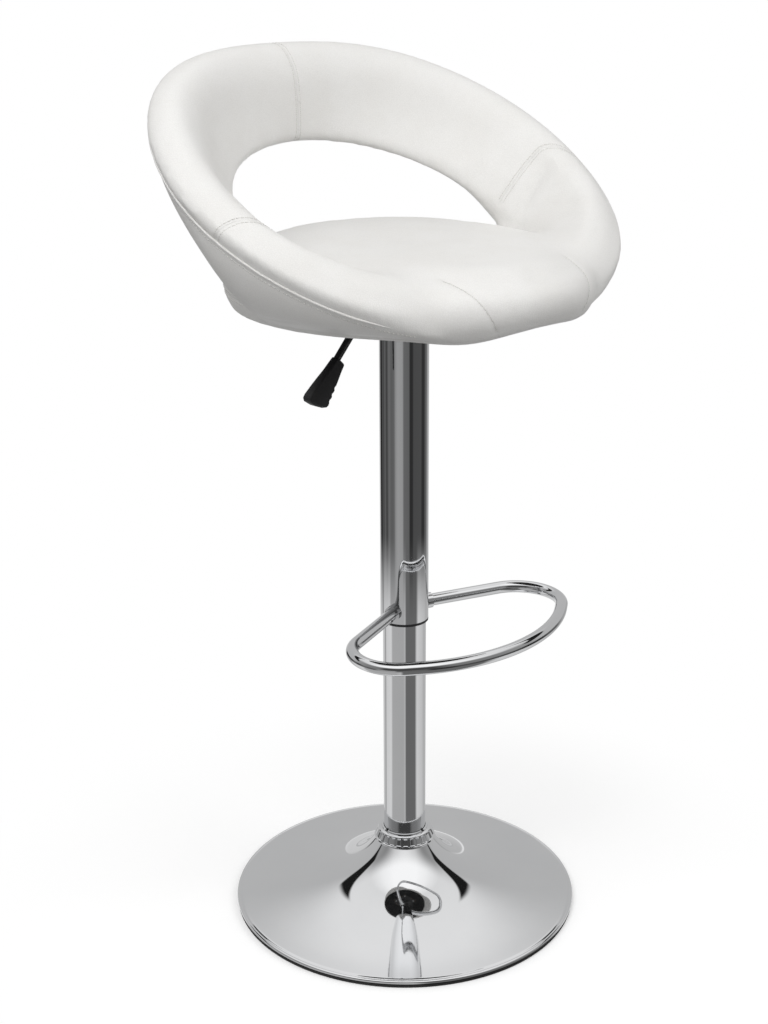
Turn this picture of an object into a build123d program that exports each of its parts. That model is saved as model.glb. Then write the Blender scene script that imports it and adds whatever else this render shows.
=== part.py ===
import math
import os

from build123d import *

os.makedirs("parts", exist_ok=True)

# seat level above the floor, fully raised, in millimetres
seat_under_z = 738.5
seat_depth = 58.5
seat_crown = 2.5

# foot
base_radius = 205.0
base_neck_z = 71.0
sheet = 2.0
rubber_height = 3.5
rubber_width = 14.0
lip_height = 5.0
bead_radius = 2.2
neck_lip = 1.5
neck_throat = 8.0
throat_share = 0.72
flare_shape = ((0.18, 0.47), (0.41, 0.25), (0.69, 0.10))

# column
tube_radius = 25.0
tube_wall = 2.0
tube_foot_z = 8.0
tube_top_z = 440.0
ballast_radius = 112.0
ballast_height = 5.0
ballast_boss_radius = 42.0
ballast_boss_top = 26.0
collar_radius = 35.0
collar_height = 22.0
collar_ribs = 32
rib_depth = 1.1
collar_step = 2.0
collar_bevel = 1.5
collar_band = 0.7

# running fits and seats
running_fit = 0.06
axial_play = 0.1
parting = 0.4

# bearing and gas spring
plug_z = 20.0
plug_height = 8.0
race_height = 2.0
cage_height = 3.0
race_radius = 14.0
cage_inset = 1.0
stub_radius = 4.0
rod_radius = 5.0
clip_radius = 8.0
clip_height = 1.5
cylinder_radius = 14.0
cylinder_wall = 2.0
cylinder_length = 416.5
cylinder_below = 22.0
taper_length = 40.0
taper_drop = 1.0
gland_height = 14.0
piston_height = 10.0
piston_seat = 4.0
guide_height = 24.0
guide_flange = 3.0

# sleeve
sleeve_radius = 27.8
sleeve_wall = 1.2
sleeve_overlap = 75.0
sleeve_below = 40.5
bush_height = 18.0
bush_flange = 3.0
cap_height = 8.0

# foot rest
rest_radius = 7.2
rest_wall = 1.5
rest_rise = 14.0
rest_corner_x = 204.5
rest_corner_y = 74.0
rest_front_y = 221.0
rest_side_bend = 50.0
rest_front_bend = 202.0
rest_root_x = 25.5
rest_root_y = 9.0
rest_collar_radius = 9.2
rest_collar_length = 7.0

# release mechanism
plate_size = 150.0
plate_thickness = 3.0
plate_corner = 12.0
bolt_pitch = 112.0
bolt_radius = 3.0
bolt_head_radius = 6.5
bolt_head_height = 4.0
nut_flange_radius = 9.5
nut_flange_height = 1.5
nut_barrel_radius = 4.4
nut_barrel_height = 9.0
hub_radius = 22.0
hub_clearance = 2.0
lever_radius = 4.0
lever_below = 12.5
lever_tip_x = 4.0
lever_pivot_x = 42.0
lever_bend_x = 66.0
lever_end_x = 122.5
lever_slope = 47.0
lever_bend = 14.0
pivot_radius = 2.5
pivot_proud = 1.5
slot_clearance = 1.5
cheek_gap = 6.0
cheek_thickness = 3.0
cheek_length = 24.0
cheek_drop = 9.0
pin_radius = 3.0
pin_length = 20.0
pin_stroke = 4.0
pin_gap = 0.3
grip_start = 24.0
grip_length = 56.0
grip_neck = 7.0
grip_width = 26.0
grip_depth = 13.0
grip_waist = 0.3
grip_belly = 0.75
grip_round = 0.42
grip_notches = 3
notch_first = 0.3
notch_last = 0.8
notch_radius = 7.0
notch_depth = 1.4

# seat
board_radius = 166.0
board_thickness = 12.0
cover_radius = 182.0
cover_thickness = 2.0
cover_clearance = 1.5
pad_radius = 201.3
pad_forward = 11.2
pad_under_inset = 13.0
pad_roll_height = 26.0
pad_shoulder_inset = 15.0
pad_shoulder_drop = 12.0
pad_top_radius = 148.0
shoulder_bow = 1.6
crown_bow = 2.0

# padded ring, radii from the column axis
ring_start_angle = 27.0
ring_wide_angle = 93.8
ring_open_angle = 91.6
rim_front_radius = 175.2
rim_side_radius = 279.8
rim_back_radius = 230.5
rim_rise = 106.8
rim_slope = 0.604
rim_arch = 4.1
rim_back_rise = 11.6
rim_floor = 5.5
rise_power = 0.775
rim_power = 0.963
front_roll_in = 7.5
front_roll_up = 32.9
front_face_in = 41.4
front_face_drop = 2.0
side_roll_in = 13.6
side_roll_up = 34.4
side_face_in = 43.9
side_face_up = 27.2
back_roll_in = 25.3
back_roll_up = 2.3
back_face_in = 44.7
back_face_up = -19.0
crease_front_inset = 51.0
crease_side_inset = 9.0
hole_back_radius = 175.0
hole_back_rise = 152.0
panel_front_inset = 3.5
panel_side_inset = 6.7
panel_side_rise = 2.0
panel_back_radius = 211.7
panel_back_rise = 177.3
under_roll = 5.1
side_under_roll = 0.5
panel_bow = 0.122
ring_steps = 10

# levels that follow from the seat's
seat_crease_z = seat_under_z + seat_depth
sleeve_top_z = seat_under_z - sleeve_below
hub_foot_z = sleeve_top_z + hub_clearance
cylinder_top_z = seat_under_z - cylinder_below
cylinder_foot_z = cylinder_top_z - cylinder_length
lever_z = seat_under_z - lever_below


def ease(t):
    t = min(max(t, 0.0), 1.0)
    return t * t * (3.0 - 2.0 * t)


def swing(t):
    return math.sin(math.pi / 2.0 * min(max(t, 0.0), 1.0))


def mix(a, b, t):
    return a + (b - a) * t


def save(builder, name, color):
    builder.part.label = name
    builder.part.color = Color(*color)
    export_step(builder.part, f"parts/{name}.step")


chrome = (0.78, 0.79, 0.80)
steel = (0.58, 0.59, 0.61)
black = (0.05, 0.05, 0.05)
white = (0.92, 0.91, 0.89)
timber = (0.72, 0.56, 0.38)

# foot: rubber ring, spun trumpet, ballast
lip_top = rubber_height + lip_height
ring_inner = base_radius - rubber_width
with BuildPart() as base_rubber_ring:
    with BuildSketch(Plane.XZ):
        with Locations((base_radius - rubber_width / 2.0 - sheet / 4.0, rubber_height / 2.0)):
            Rectangle(rubber_width - sheet / 2.0, rubber_height)
    revolve(axis=Axis.Z)
    chamfer(base_rubber_ring.edges().group_by(Axis.Z)[0], sheet / 4.0)
save(base_rubber_ring, "base_rubber_ring", black)

neck_radius = tube_radius + sheet + parting
flare = [
    (neck_radius + neck_lip, base_neck_z),
    (neck_radius + neck_throat, mix(lip_top, base_neck_z, throat_share)),
]
flare += [
    (mix(neck_radius, base_radius, out), mix(lip_top, base_neck_z, up)) for out, up in flare_shape
]
flare.append((base_radius - bead_radius, lip_top))
with BuildPart() as base_plate:
    with BuildSketch(Plane.XZ):
        with BuildLine():
            upper = Spline(*flare)
            under = Spline(*[(r - sheet / 4.0, z - sheet) for r, z in flare])
            Line(upper @ 0, (tube_radius, base_neck_z))
            Line((tube_radius, base_neck_z), (tube_radius, base_neck_z - sheet))
            Line((tube_radius, base_neck_z - sheet), under @ 0)
            ThreePointArc(
                upper @ 1,
                (base_radius, rubber_height + lip_height / 2.0),
                (base_radius - bead_radius, rubber_height),
            )
            Line((base_radius - bead_radius, rubber_height), (ring_inner, rubber_height))
            Line((ring_inner, rubber_height), (ring_inner, rubber_height + sheet))
            Line((ring_inner, rubber_height + sheet), under @ 1)
        make_face()
    revolve(axis=Axis.Z)
save(base_plate, "base_plate", chrome)

with BuildPart() as ballast_disc:
    with Locations((0.0, 0.0, rubber_height)):
        Cylinder(ballast_radius, ballast_height, align=(Align.CENTER, Align.CENTER, Align.MIN))
        Cylinder(
            ballast_boss_radius,
            ballast_boss_top - rubber_height,
            align=(Align.CENTER, Align.CENTER, Align.MIN),
        )
    with Locations((0.0, 0.0, tube_foot_z)):
        Cylinder(
            tube_radius,
            ballast_boss_top,
            align=(Align.CENTER, Align.CENTER, Align.MIN),
            mode=Mode.SUBTRACT,
        )
    Cylinder(
        tube_radius - tube_wall - sheet,
        tube_foot_z,
        align=(Align.CENTER, Align.CENTER, Align.MIN),
        mode=Mode.SUBTRACT,
    )
    chamfer(ballast_disc.edges().filter_by(GeomType.CIRCLE).group_by(SortBy.RADIUS)[-1], sheet / 2.0)
save(ballast_disc, "ballast_disc", steel)

# column tube and its decorative collar
with BuildPart() as lower_tube:
    with Locations((0.0, 0.0, tube_foot_z)):
        Cylinder(tube_radius, tube_top_z - tube_foot_z, align=(Align.CENTER, Align.CENTER, Align.MIN))
        Cylinder(
            tube_radius - tube_wall,
            tube_top_z - tube_foot_z,
            align=(Align.CENTER, Align.CENTER, Align.MIN),
            mode=Mode.SUBTRACT,
        )
save(lower_tube, "lower_tube", chrome)

collar_z = base_neck_z
band_top_z = collar_z + collar_band * collar_height
with BuildPart() as base_collar:
    with BuildSketch(Plane.XZ):
        with BuildLine():
            Polyline(
                (tube_radius, collar_z),
                (collar_radius - collar_step, collar_z),
                (collar_radius - collar_step, collar_z + collar_bevel),
                (collar_radius, collar_z + collar_step),
                (collar_radius, band_top_z),
                (collar_radius - collar_bevel, band_top_z + collar_bevel / 2.0),
                (collar_radius - 2.0 * collar_bevel, band_top_z + collar_bevel),
                (tube_radius + collar_bevel, collar_z + collar_height),
                (tube_radius, collar_z + collar_height),
                close=True,
            )
        make_face()
    revolve(axis=Axis.Z)
    with Locations((0.0, 0.0, collar_z + collar_band * collar_height / 2.0)):
        with PolarLocations(collar_radius + rib_depth, collar_ribs):
            Cylinder(2.0 * rib_depth, band_top_z - collar_z - 2.0 * collar_step, mode=Mode.SUBTRACT)
save(base_collar, "base_collar", chrome)

# bearing at the foot of the column
bore_radius = tube_radius - tube_wall
with BuildPart() as tube_plug:
    with Locations((0.0, 0.0, plug_z)):
        Cylinder(bore_radius, plug_height, align=(Align.CENTER, Align.CENTER, Align.MIN))
        Cylinder(
            stub_radius + running_fit,
            plug_height,
            align=(Align.CENTER, Align.CENTER, Align.MIN),
            mode=Mode.SUBTRACT,
        )
save(tube_plug, "tube_plug", steel)

race_z = plug_z + plug_height
with BuildPart() as lower_race:
    with Locations((0.0, 0.0, race_z)):
        Cylinder(race_radius, race_height, align=(Align.CENTER, Align.CENTER, Align.MIN))
        Cylinder(
            stub_radius + parting,
            race_height,
            align=(Align.CENTER, Align.CENTER, Align.MIN),
            mode=Mode.SUBTRACT,
        )
save(lower_race, "lower_race", steel)

cage_z = race_z + race_height
with BuildPart() as ball_cage:
    with Locations((0.0, 0.0, cage_z)):
        Cylinder(race_radius - cage_inset, cage_height, align=(Align.CENTER, Align.CENTER, Align.MIN))
        Cylinder(
            stub_radius + parting,
            cage_height,
            align=(Align.CENTER, Align.CENTER, Align.MIN),
            mode=Mode.SUBTRACT,
        )
save(ball_cage, "ball_cage", steel)

upper_race_z = cage_z + cage_height + axial_play
with BuildPart() as upper_race:
    with Locations((0.0, 0.0, upper_race_z)):
        Cylinder(race_radius, race_height, align=(Align.CENTER, Align.CENTER, Align.MIN))
        Cylinder(
            stub_radius,
            race_height,
            align=(Align.CENTER, Align.CENTER, Align.MIN),
            mode=Mode.SUBTRACT,
        )
save(upper_race, "upper_race", steel)

rod_foot_z = upper_race_z + race_height
clip_z = plug_z - axial_play - clip_height
piston_z = cylinder_foot_z + gland_height + piston_seat
with BuildPart() as piston_rod:
    with Locations((0.0, 0.0, rod_foot_z)):
        Cylinder(
            rod_radius,
            piston_z + piston_height - rod_foot_z,
            align=(Align.CENTER, Align.CENTER, Align.MIN),
        )
    with Locations((0.0, 0.0, clip_z - 2.0 * clip_height)):
        Cylinder(
            stub_radius,
            rod_foot_z - clip_z + 2.0 * clip_height,
            align=(Align.CENTER, Align.CENTER, Align.MIN),
        )
save(piston_rod, "piston_rod", chrome)

with BuildPart() as rod_clip:
    with Locations((0.0, 0.0, clip_z)):
        Cylinder(clip_radius, clip_height, align=(Align.CENTER, Align.CENTER, Align.MIN))
        Cylinder(
            stub_radius,
            clip_height,
            align=(Align.CENTER, Align.CENTER, Align.MIN),
            mode=Mode.SUBTRACT,
        )
        with Locations((clip_radius, 0.0, 0.0)):
            Box(
                2.0 * clip_radius,
                stub_radius,
                clip_height,
                align=(Align.CENTER, Align.CENTER, Align.MIN),
                mode=Mode.SUBTRACT,
            )
save(rod_clip, "rod_clip", steel)

cylinder_bore = cylinder_radius - cylinder_wall
with BuildPart() as rod_piston:
    with Locations((0.0, 0.0, piston_z)):
        Cylinder(cylinder_bore - running_fit, piston_height, align=(Align.CENTER, Align.CENTER, Align.MIN))
        Cylinder(
            rod_radius,
            piston_height,
            align=(Align.CENTER, Align.CENTER, Align.MIN),
            mode=Mode.SUBTRACT,
        )
save(rod_piston, "rod_piston", steel)

# gas cylinder, guided by a bush in the top of the column tube
with BuildPart() as guide_bush:
    with Locations((0.0, 0.0, tube_top_z - guide_height + guide_flange)):
        Cylinder(
            bore_radius,
            guide_height - guide_flange,
            align=(Align.CENTER, Align.CENTER, Align.MIN),
        )
    with Locations((0.0, 0.0, tube_top_z)):
        Cylinder(tube_radius, guide_flange, align=(Align.CENTER, Align.CENTER, Align.MIN))
    with Locations((0.0, 0.0, tube_top_z - guide_height)):
        Cylinder(
            cylinder_radius + running_fit,
            2.0 * guide_height,
            align=(Align.CENTER, Align.CENTER, Align.MIN),
            mode=Mode.SUBTRACT,
        )
save(guide_bush, "guide_bush", black)

taper_z = cylinder_top_z - taper_length
pin_top_z = lever_z - lever_radius - pin_gap
pin_foot_z = pin_top_z - pin_length
with BuildPart() as gas_cylinder:
    with BuildSketch(Plane.XZ):
        with BuildLine():
            Polyline(
                (pin_radius + running_fit, cylinder_top_z),
                (cylinder_radius - taper_drop, cylinder_top_z),
                (cylinder_radius, taper_z),
                (cylinder_radius, cylinder_foot_z),
                (cylinder_bore, cylinder_foot_z),
                (cylinder_bore, taper_z),
                (0.0, taper_z),
                (0.0, pin_foot_z - pin_stroke - axial_play),
                (pin_radius + running_fit, pin_foot_z - pin_stroke - axial_play),
                close=True,
            )
        make_face()
    revolve(axis=Axis.Z)
save(gas_cylinder, "gas_cylinder", black)

with BuildPart() as cylinder_gland:
    with Locations((0.0, 0.0, cylinder_foot_z)):
        Cylinder(cylinder_bore, gland_height, align=(Align.CENTER, Align.CENTER, Align.MIN))
        Cylinder(
            rod_radius + running_fit,
            gland_height,
            align=(Align.CENTER, Align.CENTER, Align.MIN),
            mode=Mode.SUBTRACT,
        )
save(cylinder_gland, "cylinder_gland", steel)

with BuildPart() as release_pin:
    with Locations((0.0, 0.0, pin_foot_z)):
        Cylinder(pin_radius, pin_length, align=(Align.CENTER, Align.CENTER, Align.MIN))
    chamfer(release_pin.edges().group_by(Axis.Z)[-1], pin_radius / 6.0)
save(release_pin, "release_pin", steel)

# outer sleeve with its bush and cap
sleeve_foot_z = tube_top_z - sleeve_overlap
sleeve_bore = sleeve_radius - sleeve_wall
with BuildPart() as sleeve:
    with Locations((0.0, 0.0, sleeve_foot_z)):
        Cylinder(
            sleeve_radius,
            sleeve_top_z - sleeve_foot_z,
            align=(Align.CENTER, Align.CENTER, Align.MIN),
        )
        Cylinder(
            sleeve_bore,
            sleeve_top_z - sleeve_foot_z,
            align=(Align.CENTER, Align.CENTER, Align.MIN),
            mode=Mode.SUBTRACT,
        )
save(sleeve, "sleeve", chrome)

with BuildPart() as sleeve_bush:
    with Locations((0.0, 0.0, sleeve_foot_z)):
        Cylinder(sleeve_bore, bush_height, align=(Align.CENTER, Align.CENTER, Align.MIN))
    with Locations((0.0, 0.0, sleeve_foot_z - bush_flange)):
        Cylinder(sleeve_radius, bush_flange, align=(Align.CENTER, Align.CENTER, Align.MIN))
        Cylinder(
            tube_radius + running_fit,
            bush_height + bush_flange,
            align=(Align.CENTER, Align.CENTER, Align.MIN),
            mode=Mode.SUBTRACT,
        )
save(sleeve_bush, "sleeve_bush", black)

cap_z = sleeve_top_z - cap_height
with BuildPart() as sleeve_cap:
    with Locations((0.0, 0.0, cap_z)):
        Cylinder(sleeve_bore, cap_height, align=(Align.CENTER, Align.CENTER, Align.MIN))
    with BuildSketch(Plane.XZ):
        with BuildLine():
            Polyline(
                (0.0, taper_z - cap_height),
                (cylinder_radius, taper_z - cap_height),
                (cylinder_radius, taper_z),
                (cylinder_radius - taper_drop, cylinder_top_z),
                (0.0, cylinder_top_z),
                close=True,
            )
        make_face()
    revolve(axis=Axis.Z, mode=Mode.SUBTRACT)
save(sleeve_cap, "sleeve_cap", steel)

# foot rest: one bent tube welded to the sleeve
rest_z = sleeve_foot_z + rest_rise
rest_points = (
    (rest_root_x, -rest_root_y),
    (rest_corner_x, -rest_corner_y),
    (0.0, -rest_front_y),
    (-rest_corner_x, -rest_corner_y),
    (-rest_root_x, -rest_root_y),
)
front_turn = math.atan2(rest_front_y - rest_corner_y, rest_corner_x)
arm_fall = math.atan2(rest_corner_y - rest_root_y, rest_corner_x - rest_root_x)
side_turn = (math.pi - front_turn - arm_fall) / 2.0
rest_run = math.dist(rest_points[1], rest_points[2]) - rest_side_bend * math.tan(side_turn) - rest_radius
front_bend = min(rest_front_bend, rest_run / math.tan(front_turn))
with BuildPart() as footrest:
    with BuildLine(Plane.XY.offset(rest_z)) as rest_path:
        Polyline(*rest_points)
        fillet(rest_path.vertices().group_by(Axis.Y)[0], front_bend)
        fillet(rest_path.vertices().group_by(Axis.X)[0], rest_side_bend)
        fillet(rest_path.vertices().group_by(Axis.X)[-1], rest_side_bend)
    rest_wire = rest_path.wires()[0]
    with BuildSketch(Plane(rest_wire @ 0, z_dir=rest_wire % 0)):
        Circle(rest_radius)
        Circle(rest_radius - rest_wall, mode=Mode.SUBTRACT)
    sweep(path=rest_wire)
    with Locations((0.0, 0.0, sleeve_foot_z)):
        Cylinder(
            sleeve_radius,
            sleeve_top_z - sleeve_foot_z,
            align=(Align.CENTER, Align.CENTER, Align.MIN),
            mode=Mode.SUBTRACT,
        )
save(footrest, "footrest", chrome)

for rest_side, side_name in ((1.0, "left"), (-1.0, "right")):
    collar_dir = Vector(
        rest_side * math.cos(arm_fall), -math.sin(arm_fall), 0.0
    )
    collar_root = Vector(rest_side * rest_root_x, -rest_root_y, rest_z)
    with BuildPart() as footrest_collar:
        with BuildSketch(Plane(collar_root, z_dir=collar_dir)):
            Circle(rest_collar_radius)
            Circle(rest_radius, mode=Mode.SUBTRACT)
        extrude(amount=rest_collar_length)
        with Locations((0.0, 0.0, sleeve_foot_z)):
            Cylinder(
                sleeve_radius,
                sleeve_top_z - sleeve_foot_z,
                align=(Align.CENTER, Align.CENTER, Align.MIN),
                mode=Mode.SUBTRACT,
            )
    save(footrest_collar, f"footrest_collar_{side_name}", chrome)

# seat plate, hub and the lever bracket
plate_top_z = seat_under_z + cover_thickness
plate_z = plate_top_z - plate_thickness
half_pitch = bolt_pitch / 2.0
bolt_spots = ((1, 1), (1, -1), (-1, 1), (-1, -1))
with BuildPart() as seat_plate:
    with BuildSketch(Plane.XY.offset(plate_z)):
        RectangleRounded(plate_size, plate_size, plate_corner)
        with GridLocations(bolt_pitch, bolt_pitch, 2, 2):
            Circle(bolt_radius, mode=Mode.SUBTRACT)
    extrude(amount=plate_thickness)
save(seat_plate, "seat_plate", black)

with BuildPart() as taper_hub:
    with Locations((0.0, 0.0, hub_foot_z)):
        Cylinder(hub_radius, plate_z - hub_foot_z, align=(Align.CENTER, Align.CENTER, Align.MIN))
    with BuildSketch(Plane.XZ):
        with BuildLine():
            Polyline(
                (0.0, hub_foot_z),
                (
                    cylinder_radius
                    - taper_drop * (hub_foot_z - taper_z) / taper_length,
                    hub_foot_z,
                ),
                (cylinder_radius - taper_drop, cylinder_top_z),
                (cylinder_radius - taper_drop, plate_z),
                (0.0, plate_z),
                close=True,
            )
        make_face()
    revolve(axis=Axis.Z, mode=Mode.SUBTRACT)
    with Locations((-hub_radius, 0.0, lever_z - lever_radius - pin_stroke - parting)):
        Box(
            2.0 * hub_radius,
            2.0 * (lever_radius + slot_clearance),
            plate_z - lever_z + lever_radius + pin_stroke + parting,
            align=(Align.CENTER, Align.CENTER, Align.MIN),
            mode=Mode.SUBTRACT,
        )
save(taper_hub, "taper_hub", black)

for cheek_side, side_name in ((-1.0, "front"), (1.0, "back")):
    cheek_y = cheek_side * (cheek_gap + cheek_thickness / 2.0)
    with BuildPart() as lever_cheek:
        with Locations((-lever_pivot_x, cheek_y, lever_z - cheek_drop)):
            Box(
                cheek_length,
                cheek_thickness,
                plate_z - lever_z + cheek_drop,
                align=(Align.CENTER, Align.CENTER, Align.MIN),
            )
        fillet(lever_cheek.edges().filter_by(Axis.Y).group_by(Axis.Z)[0], cheek_drop / 2.0)
        with Locations(Location((-lever_pivot_x, cheek_y, lever_z), (90.0, 0.0, 0.0))):
            Cylinder(pivot_radius + running_fit, 2.0 * cheek_thickness, mode=Mode.SUBTRACT)
    save(lever_cheek, f"lever_cheek_{side_name}", black)

# lever: bent rod, pivot pin and moulded grip
slope = math.radians(lever_slope)
lever_drop = (lever_end_x - lever_bend_x) * math.tan(slope)
lever_aim = Vector(-math.cos(slope), 0.0, -math.sin(slope))
with BuildPart() as lever_rod:
    with BuildLine() as lever_path:
        FilletPolyline(
            (lever_tip_x, 0.0, lever_z),
            (-lever_bend_x, 0.0, lever_z),
            (-lever_end_x, 0.0, lever_z - lever_drop),
            radius=lever_bend,
        )
    lever_wire = lever_path.wires()[0]
    with BuildSketch(Plane(lever_wire @ 0, z_dir=lever_wire % 0)):
        Circle(lever_radius)
    sweep(path=lever_wire)
    with Locations(Location((-lever_pivot_x, 0.0, lever_z), (90.0, 0.0, 0.0))):
        Cylinder(pivot_radius, 4.0 * lever_radius, mode=Mode.SUBTRACT)
save(lever_rod, "lever_rod", black)

with BuildPart() as pivot_pin:
    with Locations(Location((-lever_pivot_x, 0.0, lever_z), (90.0, 0.0, 0.0))):
        Cylinder(pivot_radius, 2.0 * (cheek_gap + cheek_thickness + pivot_proud))
save(pivot_pin, "pivot_pin", steel)

rod_span = (lever_end_x - lever_bend_x) / math.cos(slope)
grip_root = Vector(-lever_bend_x, 0.0, lever_z) + lever_aim * (rod_span - grip_length + grip_start)
grip_plane = Plane(grip_root, x_dir=(0.0, 1.0, 0.0), z_dir=lever_aim)
waist_width = mix(2.0 * grip_neck, grip_width, grip_waist)
with BuildPart() as lever_grip:
    with BuildSketch(grip_plane):
        RectangleRounded(2.0 * grip_neck, 2.0 * grip_neck, grip_round * 2.0 * grip_neck)
    with BuildSketch(grip_plane.offset(grip_waist * grip_length)):
        RectangleRounded(2.0 * grip_neck, waist_width, grip_round * 2.0 * grip_neck)
    with BuildSketch(grip_plane.offset(grip_belly * grip_length)):
        RectangleRounded(grip_depth, grip_width, grip_round * grip_depth)
    with BuildSketch(grip_plane.offset(grip_length)):
        RectangleRounded(grip_depth, grip_width, grip_round * grip_depth)
    loft()
    for notch in range(grip_notches):
        notch_at = mix(notch_first, notch_last, notch / max(grip_notches - 1, 1))
        notch_side = mix(grip_neck, grip_width / 2.0, notch_at) + notch_radius - notch_depth
        notch_mid = grip_root + lever_aim * (notch_at * grip_length) + grip_plane.y_dir * notch_side
        with Locations(Location(notch_mid, (90.0, 0.0, 0.0))):
            Cylinder(notch_radius, 2.0 * grip_width, mode=Mode.SUBTRACT)
    with BuildSketch(grip_plane):
        Circle(lever_radius)
    extrude(amount=grip_length - grip_start, mode=Mode.SUBTRACT)
save(lever_grip, "lever_grip", black)

# seat board, its fastenings and the under cover
with BuildPart() as seat_board:
    with BuildSketch(Plane.XY.offset(plate_top_z)):
        Circle(board_radius)
        with GridLocations(bolt_pitch, bolt_pitch, 2, 2):
            Circle(nut_barrel_radius, mode=Mode.SUBTRACT)
    extrude(amount=board_thickness)
    with BuildSketch(Plane.XY.offset(plate_top_z + board_thickness - nut_flange_height)):
        with GridLocations(bolt_pitch, bolt_pitch, 2, 2):
            Circle(nut_flange_radius)
    extrude(amount=nut_flange_height, mode=Mode.SUBTRACT)
save(seat_board, "seat_board", timber)

for spot, (spot_x, spot_y) in enumerate(bolt_spots, start=1):
    spot_at = (spot_x * half_pitch, spot_y * half_pitch)
    with BuildPart() as tee_nut:
        with Locations((*spot_at, plate_top_z + board_thickness - nut_barrel_height)):
            Cylinder(
                nut_barrel_radius, nut_barrel_height, align=(Align.CENTER, Align.CENTER, Align.MIN)
            )
        with Locations((*spot_at, plate_top_z + board_thickness - nut_flange_height)):
            Cylinder(
                nut_flange_radius, nut_flange_height, align=(Align.CENTER, Align.CENTER, Align.MIN)
            )
        with Locations((*spot_at, plate_top_z)):
            Cylinder(
                bolt_radius,
                2.0 * board_thickness,
                align=(Align.CENTER, Align.CENTER, Align.MIN),
                mode=Mode.SUBTRACT,
            )
    save(tee_nut, f"tee_nut_{spot}", steel)
    with BuildPart() as plate_bolt:
        with Locations((*spot_at, plate_z - bolt_head_height)):
            Cylinder(
                bolt_head_radius, bolt_head_height, align=(Align.CENTER, Align.CENTER, Align.MIN)
            )
        with Locations((*spot_at, plate_z)):
            Cylinder(
                bolt_radius,
                plate_thickness + board_thickness - nut_flange_height,
                align=(Align.CENTER, Align.CENTER, Align.MIN),
            )
        fillet(plate_bolt.edges().group_by(Axis.Z)[0], bolt_head_height / 3.0)
        with BuildSketch(Plane.XY.offset(plate_z - bolt_head_height)):
            with Locations(spot_at):
                RegularPolygon(bolt_radius, 6)
        extrude(amount=bolt_head_height / 2.0, mode=Mode.SUBTRACT)
    save(plate_bolt, f"plate_bolt_{spot}", steel)

with BuildPart() as under_cover:
    with BuildSketch(Plane.XY.offset(seat_under_z)):
        Circle(cover_radius)
        RectangleRounded(
            plate_size + 2.0 * cover_clearance,
            plate_size + 2.0 * cover_clearance,
            plate_corner,
            mode=Mode.SUBTRACT,
        )
    extrude(amount=cover_thickness)
save(under_cover, "under_cover", black)


# padded ring that runs round the sides and back of the seat
def rim_point(angle):
    if angle <= ring_wide_angle:
        radius = mix(rim_front_radius, rim_side_radius, ease(angle / ring_wide_angle) ** rim_power)
    else:
        radius = mix(
            rim_side_radius,
            rim_back_radius,
            ease((angle - ring_wide_angle) / (180.0 - ring_wide_angle)),
        )
    turn = math.radians(angle)
    level = seat_under_z + rim_rise - rim_slope * radius * math.cos(turn) + rim_arch * math.sin(turn) ** 2
    level += rim_back_rise * ease((angle - ring_open_angle) / (180.0 - ring_open_angle))
    return radius, max(level, seat_under_z + rim_floor)


def ring_section(angle):
    rim_r, rim_z = rim_point(angle)
    front_r, front_z = rim_point(ring_start_angle)
    front_face_up = seat_crease_z - front_face_drop - front_z
    fore = ease((angle - ring_start_angle) / (ring_open_angle - ring_start_angle))
    aft = ease((angle - ring_open_angle) / (180.0 - ring_open_angle))
    lift = swing((angle - ring_open_angle) / (180.0 - ring_open_angle)) ** rise_power
    roll_in = mix(mix(front_roll_in, side_roll_in, fore), back_roll_in, aft)
    roll_up = mix(mix(front_roll_up, side_roll_up, fore), back_roll_up, aft)
    face_in = mix(mix(front_face_in, side_face_in, fore), back_face_in, aft)
    face_up = mix(mix(front_face_up, side_face_up, fore), back_face_up, aft)
    rim = (rim_r, rim_z)
    crest = (rim_r - roll_in, rim_z + roll_up)
    face = (rim_r - face_in, rim_z + face_up)
    crease_r = mix(front_r - crease_front_inset, pad_radius - crease_side_inset, fore)
    crease = (
        mix(crease_r, hole_back_radius, lift),
        mix(seat_crease_z, seat_under_z + hole_back_rise, lift),
    )
    foot_r = mix(front_r - panel_front_inset, pad_radius - panel_side_inset, fore)
    foot_r = mix(foot_r, panel_back_radius, lift)
    foot = (foot_r, seat_under_z + mix(panel_side_rise, panel_back_rise, lift))
    return rim, crest, face, crease, foot, lift


def bowed(start, end, bow):
    mid_r = (start[0] + end[0]) / 2.0
    mid_z = (start[1] + end[1]) / 2.0
    run_r = end[0] - start[0]
    run_z = end[1] - start[1]
    span = math.hypot(run_r, run_z)
    return mid_r - bow * run_z / span, mid_z + bow * run_r / span


def station_plane(angle):
    turn = math.radians(angle)
    return Plane(
        (0.0, 0.0, 0.0),
        x_dir=(math.sin(turn), -math.cos(turn), 0.0),
        z_dir=(-math.cos(turn), -math.sin(turn), 0.0),
    )


with BuildPart() as ring_pad:
    for step in range(ring_steps + 1):
        angle = mix(ring_start_angle, 180.0, step / ring_steps)
        rim, crest, face, crease, foot, lift = ring_section(angle)
        with BuildSketch(station_plane(angle)):
            with BuildLine():
                roll = ThreePointArc(rim, crest, face)
                TangentArc(roll @ 1, crease, tangent=roll % 1)
                ThreePointArc(crease, bowed(crease, foot, -mix(side_under_roll, under_roll, lift)), foot)
                ThreePointArc(foot, bowed(foot, rim, -panel_bow * math.dist(foot, rim)), rim)
            make_face()
    loft()
    mirror(about=Plane.YZ)
save(ring_pad, "ring_pad", white)

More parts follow.
